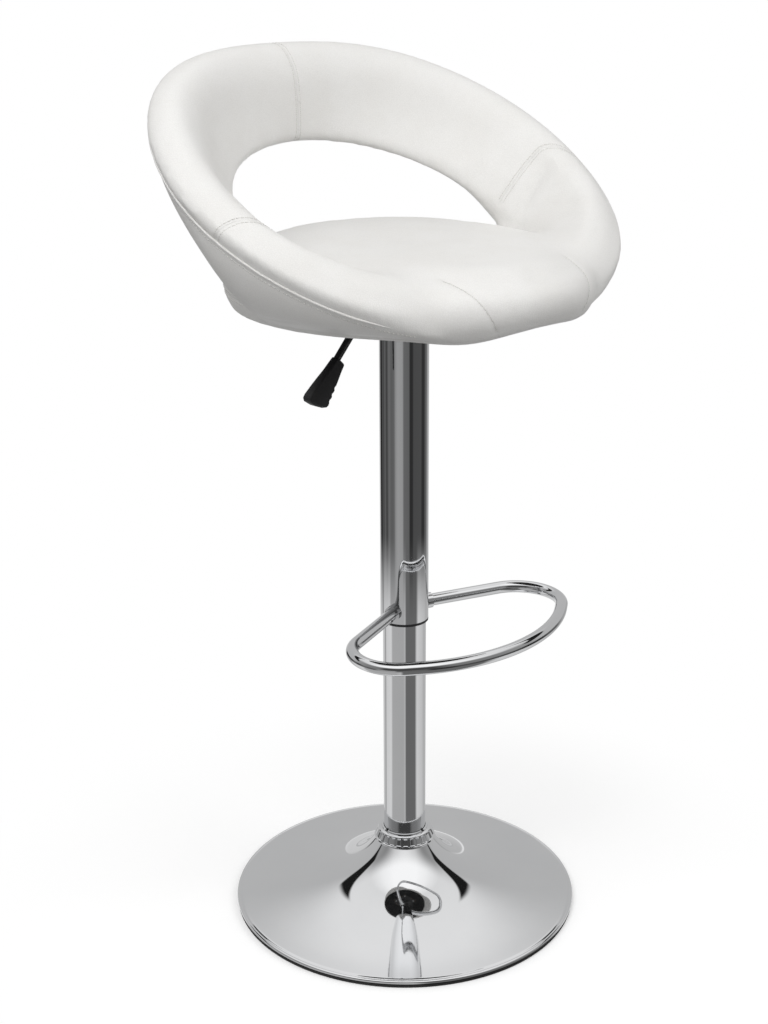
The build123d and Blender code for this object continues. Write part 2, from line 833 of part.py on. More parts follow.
with BuildPart() as seat_pad:
    with BuildSketch(Plane.XZ.offset(pad_forward)):
        with BuildLine():
            under_r = pad_radius - pad_under_inset
            shoulder = (pad_radius - pad_shoulder_inset, seat_crease_z - pad_shoulder_drop)
            pad_crown = (0.0, seat_crease_z + seat_crown)
            Line((0.0, seat_under_z), (under_r, seat_under_z))
            ThreePointArc(
                (under_r, seat_under_z),
                (pad_radius, seat_under_z + pad_roll_height),
                shoulder,
            )
            ThreePointArc(
                shoulder,
                bowed(shoulder, (pad_top_radius, seat_crease_z), -shoulder_bow),
                (pad_top_radius, seat_crease_z),
            )
            ThreePointArc(
                (pad_top_radius, seat_crease_z),
                bowed((pad_top_radius, seat_crease_z), pad_crown, -crown_bow),
                pad_crown,
            )
            Line(pad_crown, (0.0, seat_under_z))
        make_face()
    revolve(axis=Axis((0.0, -pad_forward, 0.0), (0.0, 0.0, 1.0)))
    with BuildSketch(Plane.XY.offset(plate_top_z)):
        Circle(board_radius)
    extrude(amount=board_thickness, mode=Mode.SUBTRACT)
    with BuildSketch(Plane.XY.offset(seat_under_z)):
        Circle(cover_radius)
    extrude(amount=cover_thickness, mode=Mode.SUBTRACT)
    add(ring_pad.part, mode=Mode.SUBTRACT)
save(seat_pad, "seat_pad", white)
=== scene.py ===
import math

import bpy
import numpy as np
from mathutils import Matrix, Vector
from mathutils.bvhtree import BVHTree
from mathutils.kdtree import KDTree


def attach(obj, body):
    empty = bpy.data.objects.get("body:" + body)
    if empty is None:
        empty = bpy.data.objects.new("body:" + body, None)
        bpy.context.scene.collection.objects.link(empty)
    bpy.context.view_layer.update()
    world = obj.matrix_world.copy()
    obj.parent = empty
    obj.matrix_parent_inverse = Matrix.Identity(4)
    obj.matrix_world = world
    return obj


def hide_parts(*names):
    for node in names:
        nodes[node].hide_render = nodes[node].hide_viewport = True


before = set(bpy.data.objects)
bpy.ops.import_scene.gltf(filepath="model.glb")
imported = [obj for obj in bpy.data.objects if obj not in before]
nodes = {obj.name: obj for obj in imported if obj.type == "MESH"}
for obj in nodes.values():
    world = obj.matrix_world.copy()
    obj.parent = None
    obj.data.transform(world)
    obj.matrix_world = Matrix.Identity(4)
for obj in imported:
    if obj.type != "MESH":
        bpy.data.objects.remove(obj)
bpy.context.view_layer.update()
scene = bpy.context.scene
weldGap = 0.00002
print("stool: frame loaded,", len(nodes), "nodes")


# objects and meshes
def only(obj):
    if bpy.context.mode != "OBJECT":
        bpy.ops.object.mode_set(mode="OBJECT")
    bpy.ops.object.select_all(action="DESELECT")
    if obj:
        obj.select_set(True)
        bpy.context.view_layer.objects.active = obj


def newPiece(name, points, faces):
    mesh = bpy.data.meshes.new(name)
    mesh.from_pydata([tuple(map(float, p)) for p in points], [], [tuple(map(int, f)) for f in faces])
    mesh.update()
    obj = bpy.data.objects.new(name, mesh)
    scene.collection.objects.link(obj)
    return obj


def outward(obj):
    only(obj)
    bpy.ops.object.mode_set(mode="EDIT")
    bpy.ops.mesh.select_all(action="SELECT")
    bpy.ops.mesh.remove_doubles(threshold=weldGap)
    bpy.ops.mesh.normals_make_consistent(inside=False)
    bpy.ops.object.mode_set(mode="OBJECT")


def softShade(obj, degrees):
    only(obj)
    bpy.ops.object.shade_smooth_by_angle(angle=math.radians(degrees))


def readPoints(obj):
    flat = np.zeros(len(obj.data.vertices) * 3)
    obj.data.vertices.foreach_get("co", flat)
    return flat.reshape(-1, 3)


def writePoints(obj, points):
    obj.data.vertices.foreach_set("co", points.astype(np.float32).ravel())
    obj.data.update()


def readNormals(obj):
    flat = np.zeros(len(obj.data.vertices) * 3)
    obj.data.vertex_normals.foreach_get("vector", flat)
    return flat.reshape(-1, 3)


def readEdges(obj):
    ends = np.zeros(len(obj.data.edges) * 2, np.int64)
    obj.data.edges.foreach_get("vertices", ends)
    return ends.reshape(-1, 2).T


def writeMark(obj, name, values):
    mark = obj.data.attributes.new(name, "FLOAT", "POINT")
    mark.data.foreach_set("value", values.astype(np.float32))


# sums on lines and points
def directions(line):
    along = np.gradient(line, axis=0)
    return along / np.maximum(np.linalg.norm(along, axis=1, keepdims=True), 1e-9)


def runAlong(line):
    return np.r_[0.0, np.cumsum(np.linalg.norm(np.diff(line, axis=0), axis=1))]


def spotsAt(line, run, marks):
    return np.stack([np.interp(marks, run, line[:, i]) for i in range(3)], 1)


def everyTurn(first, last, step):
    return np.arange(first, last + step / 2.0, step)


def polar(points):  # distance from the column axis, and angle from the front to either side
    turn = np.abs(np.degrees(np.arctan2(points[:, 0], -points[:, 1])))
    return np.hypot(points[:, 0], points[:, 1]), turn


def bell(away, width):
    return np.exp(-((away / width) ** 2))


def ramp(value, start, run):  # 0 at the start and 1 after the run, which falls if it is negative
    return np.clip((value - start) / run, 0.0, 1.0)


def ease(t):
    t = min(max(t, 0.0), 1.0)
    return t * t * (3.0 - 2.0 * t)


def mix(a, b, t):
    return a + (b - a) * t


# shader sums: a wire is a socket that Python operators can work on
class Wire:
    def __init__(self, tree, socket):
        self.tree = tree
        self.socket = socket

    def sum(self, operation, first, second=0.0):
        return self.tree.node("ShaderNodeMath", {"operation": operation}, {0: first, 1: second})

    def __add__(self, other):
        return self.sum("ADD", self, other)

    def __radd__(self, other):
        return self.sum("ADD", other, self)

    def __sub__(self, other):
        return self.sum("SUBTRACT", self, other)

    def __rsub__(self, other):
        return self.sum("SUBTRACT", other, self)

    def __mul__(self, other):
        return self.sum("MULTIPLY", self, other)

    def __rmul__(self, other):
        return self.sum("MULTIPLY", other, self)

    def __truediv__(self, other):
        return self.sum("DIVIDE", self, other)

    def __pow__(self, other):
        return self.sum("POWER", self, other)

    def __abs__(self):
        return self.sum("ABSOLUTE", self)

    def most(self, other):
        return self.sum("MAXIMUM", self, other)

    def step(self, low, high):  # 0 below low, 1 above high, eased between
        return self.tree.node(
            "ShaderNodeMapRange",
            {"interpolation_type": "SMOOTHSTEP"},
            {"Value": self, "From Min": low, "From Max": high, "To Min": 0.0, "To Max": 1.0},
        )


class Tree:
    def __init__(self, tree):
        self.tree = tree

    def node(self, kind, settings, values, out=0):
        made = self.tree.nodes.new(kind)
        for key, value in settings.items():
            if key == "stops":
                stops = made.color_ramp.elements
                while len(stops) < len(value):
                    stops.new(0.5)
                for element, (place, tone) in zip(stops, value):
                    element.position = place
                    element.color = (*tone, 1.0)
            else:
                setattr(made, key, value)
        for key, value in values.items():
            self.put(made.inputs[key], value)
        return Wire(self, made.outputs[out])

    def put(self, socket, value):
        if isinstance(value, Wire):
            self.tree.links.new(value.socket, socket)
        else:
            socket.default_value = value

    def place(self):
        return self.node("ShaderNodeTexCoord", {}, {}, "Object")

    def parts(self, vector):
        split = self.tree.nodes.new("ShaderNodeSeparateXYZ")
        self.put(split.inputs[0], vector)
        return [Wire(self, socket) for socket in split.outputs]

    def rays(self, *kinds):
        path = self.tree.nodes.new("ShaderNodeLightPath")
        return [Wire(self, path.outputs["Is %s Ray" % kind]) for kind in kinds]

    def mark(self, name):
        return self.node("ShaderNodeAttribute", {"attribute_name": name}, {}, "Fac")

    def noise(self, vector, scale, detail, rough=0.5):
        values = {"Vector": vector, "Scale": scale, "Detail": detail, "Roughness": rough}
        return self.node("ShaderNodeTexNoise", {}, values, "Fac")

    def tint(self, factor, first, second):
        return self.node("ShaderNodeMix", {"data_type": "RGBA"}, {0: factor, 6: first, 7: second}, 2)

    def bump(self, height, distance, strength):
        values = {"Strength": strength, "Distance": distance, "Height": height}
        return self.node("ShaderNodeBump", {}, values, "Normal")

    def glow(self, kind, colour, strength=1.0):
        return self.node(kind, {}, {"Color": colour, "Strength": strength})

    def blend(self, factor, first, second):
        return self.node("ShaderNodeMixShader", {}, {0: factor, 1: first, 2: second})


class Finish(Tree):
    def __init__(self, name):
        self.material = bpy.data.materials.new(name)
        self.material.use_nodes = True
        super().__init__(self.material.node_tree)
        self.shader = self.tree.nodes["Principled BSDF"]

    def set(self, **values):
        for key, value in values.items():
            self.put(self.shader.inputs[key.replace("_", " ")], value)


def dress(obj, finish):
    if not obj.material_slots:
        obj.data.materials.append(finish.material)
    for slot in obj.material_slots:
        slot.material = finish.material


def grey(level):
    return (level, level, level, 1.0)


# camera at the photograph's place
view = {
    "lens": 59.41, "place": (-1.2887, -1.2797, 1.1184), "pitch": 19.02, "yaw": -0.7285, "roll": -0.2955,
    "reach": 60.0,
}


def photoCamera(view):
    data = bpy.data.cameras.new("photoCamera")
    cam = bpy.data.objects.new("photoCamera", data)
    scene.collection.objects.link(cam)
    data.lens = view["lens"]
    data.clip_end = view["reach"]
    place = Vector(view["place"])
    ahead = Vector((-place.x, -place.y, 0.0)).normalized()
    right = ahead.cross(Vector((0.0, 0.0, 1.0)))
    yaw, pitch, roll = (math.radians(view[key]) for key in ("yaw", "pitch", "roll"))
    level = ahead * math.cos(yaw) + right * math.sin(yaw)
    side = right * math.cos(yaw) - ahead * math.sin(yaw)
    forward = level * math.cos(pitch) - Vector((0.0, 0.0, math.sin(pitch)))
    up = level * math.sin(pitch) + Vector((0.0, 0.0, math.cos(pitch)))
    across = side * math.cos(roll) + up * math.sin(roll)
    above = up * math.cos(roll) - side * math.sin(roll)
    turn = Matrix((across, above, -forward)).transposed().to_4x4()
    cam.matrix_world = Matrix.Translation(place) @ turn
    scene.camera = cam


photoCamera(view)
print("stool: camera set")

# finishes: noise as scale, detail and roughness, rough as least and gain, bump as distance and strength
chromeLook = {
    "bright": (0.86, 0.865, 0.87, 1.0), "dull": (0.78, 0.785, 0.80, 1.0), "rough": 0.035, "smudge": 0.05,
    "wiped": (9.0, 5.0, 0.62), "prints": (46.0, 6.0, 0.7), "printed": (0.56, 0.78),
    "ripple": (22.0, 2.0), "bump": (0.0004, 0.12),
}


def chromeFinish(look):
    f = Finish("chrome")
    place = f.place()
    wiped = f.noise(place, *look["wiped"])
    prints = f.noise(place, *look["prints"]).step(*look["printed"])
    f.set(
        Base_Color=f.tint(wiped, look["bright"], look["dull"]),
        Roughness=look["rough"] + look["smudge"] * wiped * prints,
        Metallic=1.0,
        Normal=f.bump(f.noise(place, *look["ripple"]), *look["bump"]),
    )
    return f


paintLook = {
    "cloud": (55.0, 6.0, 0.62), "grain": (520.0, 2.0), "bump": (0.0003, 0.35),
    "tones": ((0.016, 0.016, 0.017, 1.0), (0.035, 0.034, 0.034, 1.0)),
}
plainLooks = {
    "brightSteel": {
        "cloud": (60.0, 5.0, 0.6), "grain": (900.0, 2.0), "rough": (0.24, 0.22), "bump": (0.0002, 0.25),
        "tones": ((0.60, 0.60, 0.61, 1.0), (0.46, 0.46, 0.45, 1.0)), "metal": 1.0,
    },
    "castIron": {
        "cloud": (40.0, 6.0, 0.65), "grain": (420.0, 4.0, 0.7), "rough": (0.55, 0.25), "bump": (0.0008, 0.6),
        "tones": ((0.05, 0.05, 0.052, 1.0), (0.11, 0.10, 0.095, 1.0)), "metal": 0.6, "roughBy": "grain",
    },
    "blackRubber": {
        "cloud": (120.0, 5.0, 0.65), "grain": (700.0, 3.0), "rough": (0.62, 0.2), "bump": (0.0003, 0.4),
        "tones": ((0.014, 0.014, 0.015, 1.0), (0.035, 0.034, 0.033, 1.0)),
    },
    "mouldedPlastic": {
        "cloud": (70.0, 5.0, 0.6), "grain": (1400.0, 2.0), "rough": (0.40, 0.16), "bump": (0.00025, 0.45),
        "tones": ((0.012, 0.012, 0.013, 1.0), (0.024, 0.024, 0.025, 1.0)),
    },
    "blackSteel": {**paintLook, "rough": (0.34, 0.18), "coat": 0.15},
    "blackGloss": {**paintLook, "rough": (0.10, 0.18), "coat": 1.0},
}


def plainFinish(name):
    look = plainLooks[name]
    f = Finish(name)
    place = f.place()
    noises = {key: f.noise(place, *look[key]) for key in ("cloud", "grain")}
    least, gain = look["rough"]
    f.set(
        Base_Color=f.tint(noises["cloud"], *look["tones"]),
        Roughness=least + gain * noises[look.get("roughBy", "cloud")],
        Metallic=look.get("metal", 0.0),
        Coat_Weight=look.get("coat", 0.0),
        Normal=f.bump(noises["grain"], *look["bump"]),
    )
    return f


plywoodLook = {
    "stretch": (9.0, 160.0, 160.0), "fibre": (1.6, 6.0, 0.6), "rough": (0.6, 0.15), "bump": (0.0004, 0.3),
    "layers": {"Scale": 130.0, "Distortion": 0.6, "Detail": 2.0}, "glued": (0.55, 0.75),
    "tones": ((0.58, 0.42, 0.26, 1.0), (0.44, 0.29, 0.16, 1.0)), "glue": (0.36, 0.23, 0.12, 1.0),
}


def plywoodFinish(look):
    f = Finish("plywood")
    place = f.place()
    stretched = f.node("ShaderNodeMapping", {}, {"Vector": place, "Scale": look["stretch"]})
    fibre = f.noise(stretched, *look["fibre"])
    layers = f.node("ShaderNodeTexWave", {"bands_direction": "Z"}, {"Vector": place, **look["layers"]}, "Fac")
    least, gain = look["rough"]
    f.set(
        Base_Color=f.tint(layers.step(*look["glued"]), f.tint(fibre, *look["tones"]), look["glue"]),
        Roughness=least + gain * fibre,
        Normal=f.bump(fibre, *look["bump"]),
    )
    return f


feltLook = {
    "hairs": (1600.0, 6.0, 0.75), "patches": (90.0, 4.0), "dots": 420.0, "pressed": (0.15, 0.4),
    "tones": ((0.012, 0.012, 0.012, 1.0), (0.045, 0.045, 0.046, 1.0)), "patchShare": 0.5,
    "rough": (0.86, 0.1), "dotShare": 0.4, "bump": (0.0005, 0.7),
}


def feltFinish(look):
    f = Finish("blackFelt")
    place = f.place()
    hairs = f.noise(place, *look["hairs"])
    patches = f.noise(place, *look["patches"])
    dots = f.node("ShaderNodeTexVoronoi", {}, {"Vector": place, "Scale": look["dots"]}, "Distance")
    pressed = dots.step(*look["pressed"])
    least, gain = look["rough"]
    worn = patches * look["patchShare"] + hairs * (1.0 - look["patchShare"])
    height = hairs * (1.0 - look["dotShare"]) + pressed * look["dotShare"]
    f.set(
        Base_Color=f.tint(worn, *look["tones"]),
        Roughness=least + gain * hairs,
        Normal=f.bump(height, *look["bump"]),
    )
    return f


leatherLook = {
    # line is the dark tone of the pores and the seam lines, and also the colour of the painted crease shade
    "light": (0.810, 0.803, 0.786, 1.0), "warm": (0.788, 0.778, 0.757, 1.0), "line": (0.42, 0.41, 0.39, 1.0),
    "mottle": (17.0, 5.0, 0.6), "warmed": (0.3, 0.72), "pores": 520.0, "pebble": (0.0, 0.22),
    "poreTone": 0.10,
    "grain": (950.0, 3.0, 0.6), "grainShare": 0.3, "bump": (0.00022, 0.5),
    "seamLine": (0.0002, 0.0013), "seamTone": 0.07, "seamDepth": 2.5, "creaseShadeTone": 0.18,
    "rough": 0.40, "mottleRough": 0.10, "pebbleShine": 0.05, "coat": 0.06, "coatRough": 0.35,
}


def leatherFinish(look, seams):
    f = Finish("leatherette" if seams else "pipingLeather")
    place = f.place()
    mottle = f.noise(place, *look["mottle"])
    cells = f.node(
        "ShaderNodeTexVoronoi",
        {"feature": "DISTANCE_TO_EDGE"},
        {"Vector": place, "Scale": look["pores"]},
        "Distance",
    )
    pebble = cells.step(*look["pebble"])
    grain = f.noise(place, *look["grain"])
    colour = f.tint(mottle.step(*look["warmed"]), look["light"], look["warm"])
    colour = f.tint((1.0 - pebble) * look["poreTone"], colour, look["line"])
    height = pebble * (1.0 - look["grainShare"]) + grain * look["grainShare"]
    if seams:  # a fine pressed line along each seam, and painted shade in the folds and under the panel's rear
        pressed = 1.0 - abs(f.mark("seamRun")).step(*look["seamLine"])
        colour = f.tint(pressed * look["seamTone"], colour, look["line"])
        height = height - pressed * look["seamDepth"]
        # painted shade: the cover is darkened where it folds in on itself, and more under the panel's rear
        colour = f.tint(f.mark("tuck") * look["creaseShadeTone"], colour, look["line"])
    f.set(
        Base_Color=colour,
        Roughness=look["rough"] + look["mottleRough"] * mottle - look["pebbleShine"] * pebble,
        Normal=f.bump(height, *look["bump"]),
        Coat_Weight=look["coat"],
        Coat_Roughness=look["coatRough"],
    )
    return f


threadLook = {
    "twist": {"Scale": 700.0, "Distortion": 2.0, "Detail": 2.0}, "rough": (0.62, 0.2), "bump": (0.0001, 0.5),
    "tones": ((0.80, 0.79, 0.76, 1.0), (0.68, 0.67, 0.64, 1.0)),
    # end is painted shade where each stitch sinks into its hole, and ends is how far along the stitch it
    # spreads
    "end": (0.42, 0.41, 0.39, 1.0), "ends": (0.22, 0.62),
}


def threadFinish(look):
    f = Finish("thread")
    twist = f.node("ShaderNodeTexWave", {}, {"Vector": f.place(), **look["twist"]}, "Fac")
    strand = f.tint(twist, *look["tones"])
    least, gain = look["rough"]
    f.set(
        # painted shade: each stitch darkens towards its ends, where it dips into the leather
        Base_Color=f.tint(f.mark("stitchEnd").step(*look["ends"]), strand, look["end"]),
        Roughness=least + gain * twist,
        Normal=f.bump(twist, *look["bump"]),
    )
    return f


chrome = chromeFinish(chromeLook)
steel, iron, rubber, plastic, paint, gloss = (plainFinish(name) for name in plainLooks)
plywood = plywoodFinish(plywoodLook)
felt = feltFinish(feltLook)
leather = leatherFinish(leatherLook, True)
pipingLeather = leatherFinish(leatherLook, False)
thread = threadFinish(threadLook)

nodeFinish = {
    "base_plate": chrome, "lower_tube": chrome, "base_collar": chrome, "piston_rod": chrome, "sleeve": chrome,
    "footrest": chrome, "footrest_collar_left": chrome, "footrest_collar_right": chrome,
    "base_rubber_ring": rubber, "ballast_disc": iron,
    "tube_plug": steel, "lower_race": steel, "ball_cage": steel, "upper_race": steel, "rod_clip": steel,
    "rod_piston": steel, "cylinder_gland": steel, "release_pin": steel, "sleeve_cap": steel,
    "pivot_pin": steel,
    "guide_bush": plastic, "sleeve_bush": plastic, "lever_grip": plastic,
    "gas_cylinder": paint, "seat_plate": paint, "taper_hub": paint, "lever_rod": gloss,
    "lever_cheek_front": paint, "lever_cheek_back": paint,
    "seat_board": plywood, "under_cover": felt,
}
for name, obj in nodes.items():
    dress(obj, nodeFinish.get(name, steel if name.startswith(("plate_bolt", "tee_nut")) else leather))
print("stool: finishes on", len(nodes), "nodes")

# padded ring and seat, in metres and degrees, radii from the column axis
ring = {
    "start": 27.0, "wide": 93.8, "open": 91.6, "every": 3.0,
    "rim": (0.1724, 0.2780, 0.2282), "level": 0.8453, "slope": 0.604, "arch": 0.0041, "backRise": 0.0096,
    "floor": 0.744, "rimPower": 0.963, "risePower": 0.775,
    "rollIn": (0.0075, 0.0136, 0.0253), "rollUp": (0.0329, 0.0348, 0.0088),
    "faceIn": (0.0414, 0.0456, 0.0567), "faceUp": (0.0510, 0.0219, -0.0211),
    "creaseInset": 0.051, "crease": (0.1923, 0.1693), "creaseLevel": (0.797, 0.8839),
    "footInset": 0.0035, "foot": (0.1946, 0.2142), "footLevel": (0.7405, 0.9215),
    "underRoll": (0.0005, 0.0051), "panelBow": 0.122, "lipSpan": 6, "lipRounds": 10,
    "rollSteps": 24, "faceSteps": 14, "underSteps": 12, "panelSteps": 16,
    "belly": 0.0042, "bellyPlace": 0.20, "bellyWidth": 0.13, "bellyRoot": 0.06,
    "bellyFrom": 30.0, "bellyRise": 25.0, "bellyTo": 125.0, "bellyFade": 40.0,
}
seat = {
    "under": 0.7385, "crease": 0.797, "crown": 0.0025, "hub": 0.002, "radius": 0.2013, "forward": 0.0112,
    "underInset": 0.013, "rollHeight": 0.026, "shoulderInset": 0.015, "shoulderDrop": 0.012, "top": 0.148,
    "shoulderBow": 0.0016, "crownBow": 0.002, "backLift": 0.006, "liftFrom": -0.05, "liftRun": 0.20,
    "backSwell": 0.0038, "swellRun": 0.14, "rollSteps": 18, "shoulderSteps": 8, "crownSteps": 14,
    "turns": 120,
}


def threeMix(values, fore, aft):
    return mix(mix(values[0], values[1], fore), values[2], aft)


def arcThrough(a, b, c, count):
    (ax, ay), (bx, by), (cx, cy) = a, b, c
    d = 2.0 * (ax * (by - cy) + bx * (cy - ay) + cx * (ay - by))
    s = np.linspace(0.0, 1.0, count, endpoint=False)
    if abs(d) < 1e-9:  # the three lie in a line
        return [(mix(ax, cx, t), mix(ay, cy, t)) for t in s]
    qa, qb, qc = ax * ax + ay * ay, bx * bx + by * by, cx * cx + cy * cy
    ux = (qa * (by - cy) + qb * (cy - ay) + qc * (ay - by)) / d
    uy = (qa * (cx - bx) + qb * (ax - cx) + qc * (bx - ax)) / d
    first, middle, last = (math.atan2(y - uy, x - ux) for x, y in (a, b, c))
    whole = (last - first) % (2.0 * math.pi)
    if (middle - first) % (2.0 * math.pi) > whole:
        whole -= 2.0 * math.pi
    radius = math.hypot(ax - ux, ay - uy)
    turns = [first + whole * t for t in s]
    return [(ux + radius * math.cos(turn), uy + radius * math.sin(turn)) for turn in turns]


def bowed(a, b, bow):
    run = (b[0] - a[0], b[1] - a[1])
    span = math.hypot(*run)
    return ((a[0] + b[0]) / 2 - bow * run[1] / span, (a[1] + b[1]) / 2 + bow * run[0] / span)


def rimPoint(angle):
    front, side, back = ring["rim"]
    if angle <= ring["wide"]:
        radius = mix(front, side, ease(angle / ring["wide"]) ** ring["rimPower"])
    else:
        radius = mix(side, back, ease((angle - ring["wide"]) / (180.0 - ring["wide"])))
    turn = math.radians(angle)
    level = ring["level"] - ring["slope"] * radius * math.cos(turn) + ring["arch"] * math.sin(turn) ** 2
    level += ring["backRise"] * ease((angle - ring["open"]) / (180.0 - ring["open"]))
    return radius, max(level, ring["floor"])


def ringCorners(angle):
    fore = ease((angle - ring["start"]) / (ring["open"] - ring["start"]))
    back = min(max((angle - ring["open"]) / (180.0 - ring["open"]), 0.0), 1.0)
    aft = ease(back)
    lift = math.sin(math.pi / 2.0 * back) ** ring["risePower"]
    radius, level = rimPoint(angle)
    crest = (radius - threeMix(ring["rollIn"], fore, aft), level + threeMix(ring["rollUp"], fore, aft))
    face = (radius - threeMix(ring["faceIn"], fore, aft), level + threeMix(ring["faceUp"], fore, aft))
    front = rimPoint(ring["start"])[0]
    creaseRadius = threeMix((front - ring["creaseInset"], *ring["crease"]), fore, lift)
    crease = (creaseRadius, mix(*ring["creaseLevel"], lift))
    footRadius = threeMix((front - ring["footInset"], *ring["foot"]), fore, lift)
    foot = (footRadius, mix(*ring["footLevel"], lift))
    return (radius, level), crest, face, crease, foot, lift


def ringSection(angle):
    rim, crest, face, crease, foot, lift = ringCorners(angle)
    roll = arcThrough(rim, crest, face, ring["rollSteps"])
    (ax, ay), (bx, by) = roll[-2:]
    lead = (3.0 * (face[0] - bx) - (bx - ax), 3.0 * (face[1] - by) - (by - ay))  # where the roll heads
    run = (crease[0] - face[0], crease[1] - face[1])
    turn = math.atan2(run[0] * lead[1] - run[1] * lead[0], run[0] * lead[0] + run[1] * lead[1])
    bow = math.hypot(*run) * math.tan(turn / 2.0) / 2.0
    inner = roll + arcThrough(face, bowed(face, crease, bow), crease, ring["faceSteps"])
    underBow = -mix(*ring["underRoll"], lift)
    under = arcThrough(crease, bowed(crease, foot, underBow), foot, ring["underSteps"])
    panelBow = -ring["panelBow"] * math.dist(foot, rim)
    panel = arcThrough(foot, bowed(foot, rim, panelBow), rim, ring["panelSteps"])
    return inner, under, panel


def around(angle, point):  # angle from the front, positive to the sitter's left
    turn = math.radians(angle)
    return (point[0] * math.sin(turn), -point[0] * math.cos(turn), point[1])


def bellied(inner, angle):  # the roll hangs a little over the piping along the arms
    here = ease((angle - ring["bellyFrom"]) / ring["bellyRise"])
    here *= 1.0 - ease((angle - ring["bellyTo"]) / ring["bellyFade"])
    line = np.array(inner)
    along = directions(line)
    share = np.arange(len(line)) / ring["rollSteps"]
    push = bell(share - ring["bellyPlace"], ring["bellyWidth"]) * (1.0 - bell(share, ring["bellyRoot"]))
    out = np.stack([along[:, 1], -along[:, 0]], 1)
    return line + out * (ring["belly"] * here * push)[:, None]


def skinned(name, loops):  # closed loops joined one to the next, with a cap at each end
    count = len(loops[0])
    faces = []
    for i in range(len(loops) - 1):
        for j in range(count):
            k = (j + 1) % count
            faces.append((i * count + j, i * count + k, (i + 1) * count + k, (i + 1) * count + j))
    faces.append(tuple(range(count)))
    faces.append(tuple(range((len(loops) - 1) * count, len(loops) * count)))
    return newPiece(name, [p for loop in loops for p in loop], faces)


def ringShell():
    loops = []
    for angle in everyTurn(ring["start"], 360.0 - ring["start"], ring["every"]):
        inner, under, panel = ringSection(min(angle, 360.0 - angle))
        section = np.concatenate([bellied(inner, min(angle, 360.0 - angle)), under, panel])
        lip = np.arange(len(inner) - ring["lipSpan"], len(inner) + ring["lipSpan"] + 1)
        for i in range(ring["lipRounds"]):
            section[lip] = (section[lip - 1] + 2.0 * section[lip] + section[lip + 1]) / 4.0
        loops.append([around(angle, p) for p in section])
    return skinned("ringShell", loops)


def seatShell():
    underEdge = (seat["radius"] - seat["underInset"], seat["under"])
    side = (seat["radius"], seat["under"] + seat["rollHeight"])
    shoulder = (seat["radius"] - seat["shoulderInset"], seat["crease"] - seat["shoulderDrop"])
    top = (seat["top"], seat["crease"])
    crown = (seat["hub"], seat["crease"] + seat["crown"])
    profile = [(seat["hub"], seat["under"])]
    profile += arcThrough(underEdge, side, shoulder, seat["rollSteps"])
    profile += arcThrough(shoulder, bowed(shoulder, top, -seat["shoulderBow"]), top, seat["shoulderSteps"])
    profile += arcThrough(top, bowed(top, crown, -seat["crownBow"]), crown, seat["crownSteps"]) + [crown]
    turns, count = seat["turns"], len(profile)
    points = []
    for i in range(turns):
        spot = 2.0 * math.pi * i / turns
        for r, z in profile:
            y = -r * math.cos(spot) - seat["forward"]
            r *= 1.0 + seat["backSwell"] / seat["radius"] * ease((y - seat["liftFrom"]) / seat["swellRun"])
            y = -r * math.cos(spot) - seat["forward"]
            share = (z - seat["under"]) / (seat["crease"] - seat["under"])
            lift = seat["backLift"] * share * ease((y - seat["liftFrom"]) / seat["liftRun"])
            points.append((r * math.sin(spot), y, z + lift))
    faces = []
    for i in range(turns):
        n = (i + 1) % turns
        for j in range(count - 1):
            faces.append((i * count + j, i * count + j + 1, n * count + j + 1, n * count + j))
    faces.append(tuple(i * count for i in range(turns)))
    faces.append(tuple(i * count + count - 1 for i in range(turns)))
    return newPiece("seatShell", points, faces)


cushion = {
    "voxel": 0.005, "relax": 6, "pushes": (0.5, -0.52), "shrink": 0.003, "frames": 20, "share": 0.4,
    "cap": 0.0022,
    "heldFacing": -0.7, "heldDepth": 0.012, "smooth": 80.0,
}
coverCloth = {
    "quality": 4, "mass": 0.3, "tension_stiffness": 12.0, "compression_stiffness": 12.0,
    "bending_stiffness": 0.4,
    "use_pressure": True, "uniform_pressure_force": 5.0, "vertex_group_mass": "held",
}
folds = {
    "width": 0.024, "level": 0.803, "height": 0.024, "from": 22.0, "to": 88.0, "fade": 20.0, "every": 3.0,
    "tipAngle": 37.0, "tipSpread": 9.0, "tipLevel": 0.785, "tipHeight": 0.024, "tipShare": 0.7,
    "rollFrom": 95.0, "rollFade": 25.0, "rollWidth": 0.026, "rollShare": 0.8, "rollEvery": 5.0,
    "rounds": 40, "pushes": (0.5,),
}


def relax(obj, rounds, pushes, weight=1.0):
    points = readPoints(obj)
    a, b = readEdges(obj)
    share = np.bincount(np.r_[a, b], minlength=len(points)).astype(float)[:, None]
    for i in range(rounds):
        for push in pushes:
            total = np.zeros_like(points)
            np.add.at(total, a, points[b])
            np.add.at(total, b, points[a])
            points = points + push * weight * (total / share - points)
    writePoints(obj, points)


def stuff(obj, look):  # swell a slightly smaller cover, and keep part of what the cloth does
    foam, normals = readPoints(obj), readNormals(obj)
    writePoints(obj, foam - normals * look["shrink"])
    held = obj.vertex_groups.new(name="held")
    below = (normals[:, 2] < look["heldFacing"]) & (foam[:, 2] < seat["under"] + look["heldDepth"])
    held.add([int(i) for i in np.nonzero(below)[0]], 1.0, "REPLACE")
    only(obj)
    cover = obj.modifiers.new("stuffing", "CLOTH")
    for key, value in coverCloth.items():
        setattr(cover.settings, key, value)
    cover.settings.effector_weights.gravity = 0.0
    cover.collision_settings.use_collision = False
    cover.point_cache.frame_start = 1
    cover.point_cache.frame_end = look["frames"]
    for number in range(1, look["frames"] + 1):
        scene.frame_set(number)
    bpy.ops.object.modifier_apply(modifier="stuffing")
    scene.frame_set(1)
    swell = ((readPoints(obj) - foam) * normals).sum(1)
    print("stool: cover swells by %.1f mm, %.1f mm at most" % (swell.mean() * 1000, swell.max() * 1000))
    swell = np.clip((swell - swell.mean()) * look["share"], -look["cap"], look["cap"])
    writePoints(obj, foam + normals * swell[:, None])
    obj.vertex_groups.clear()


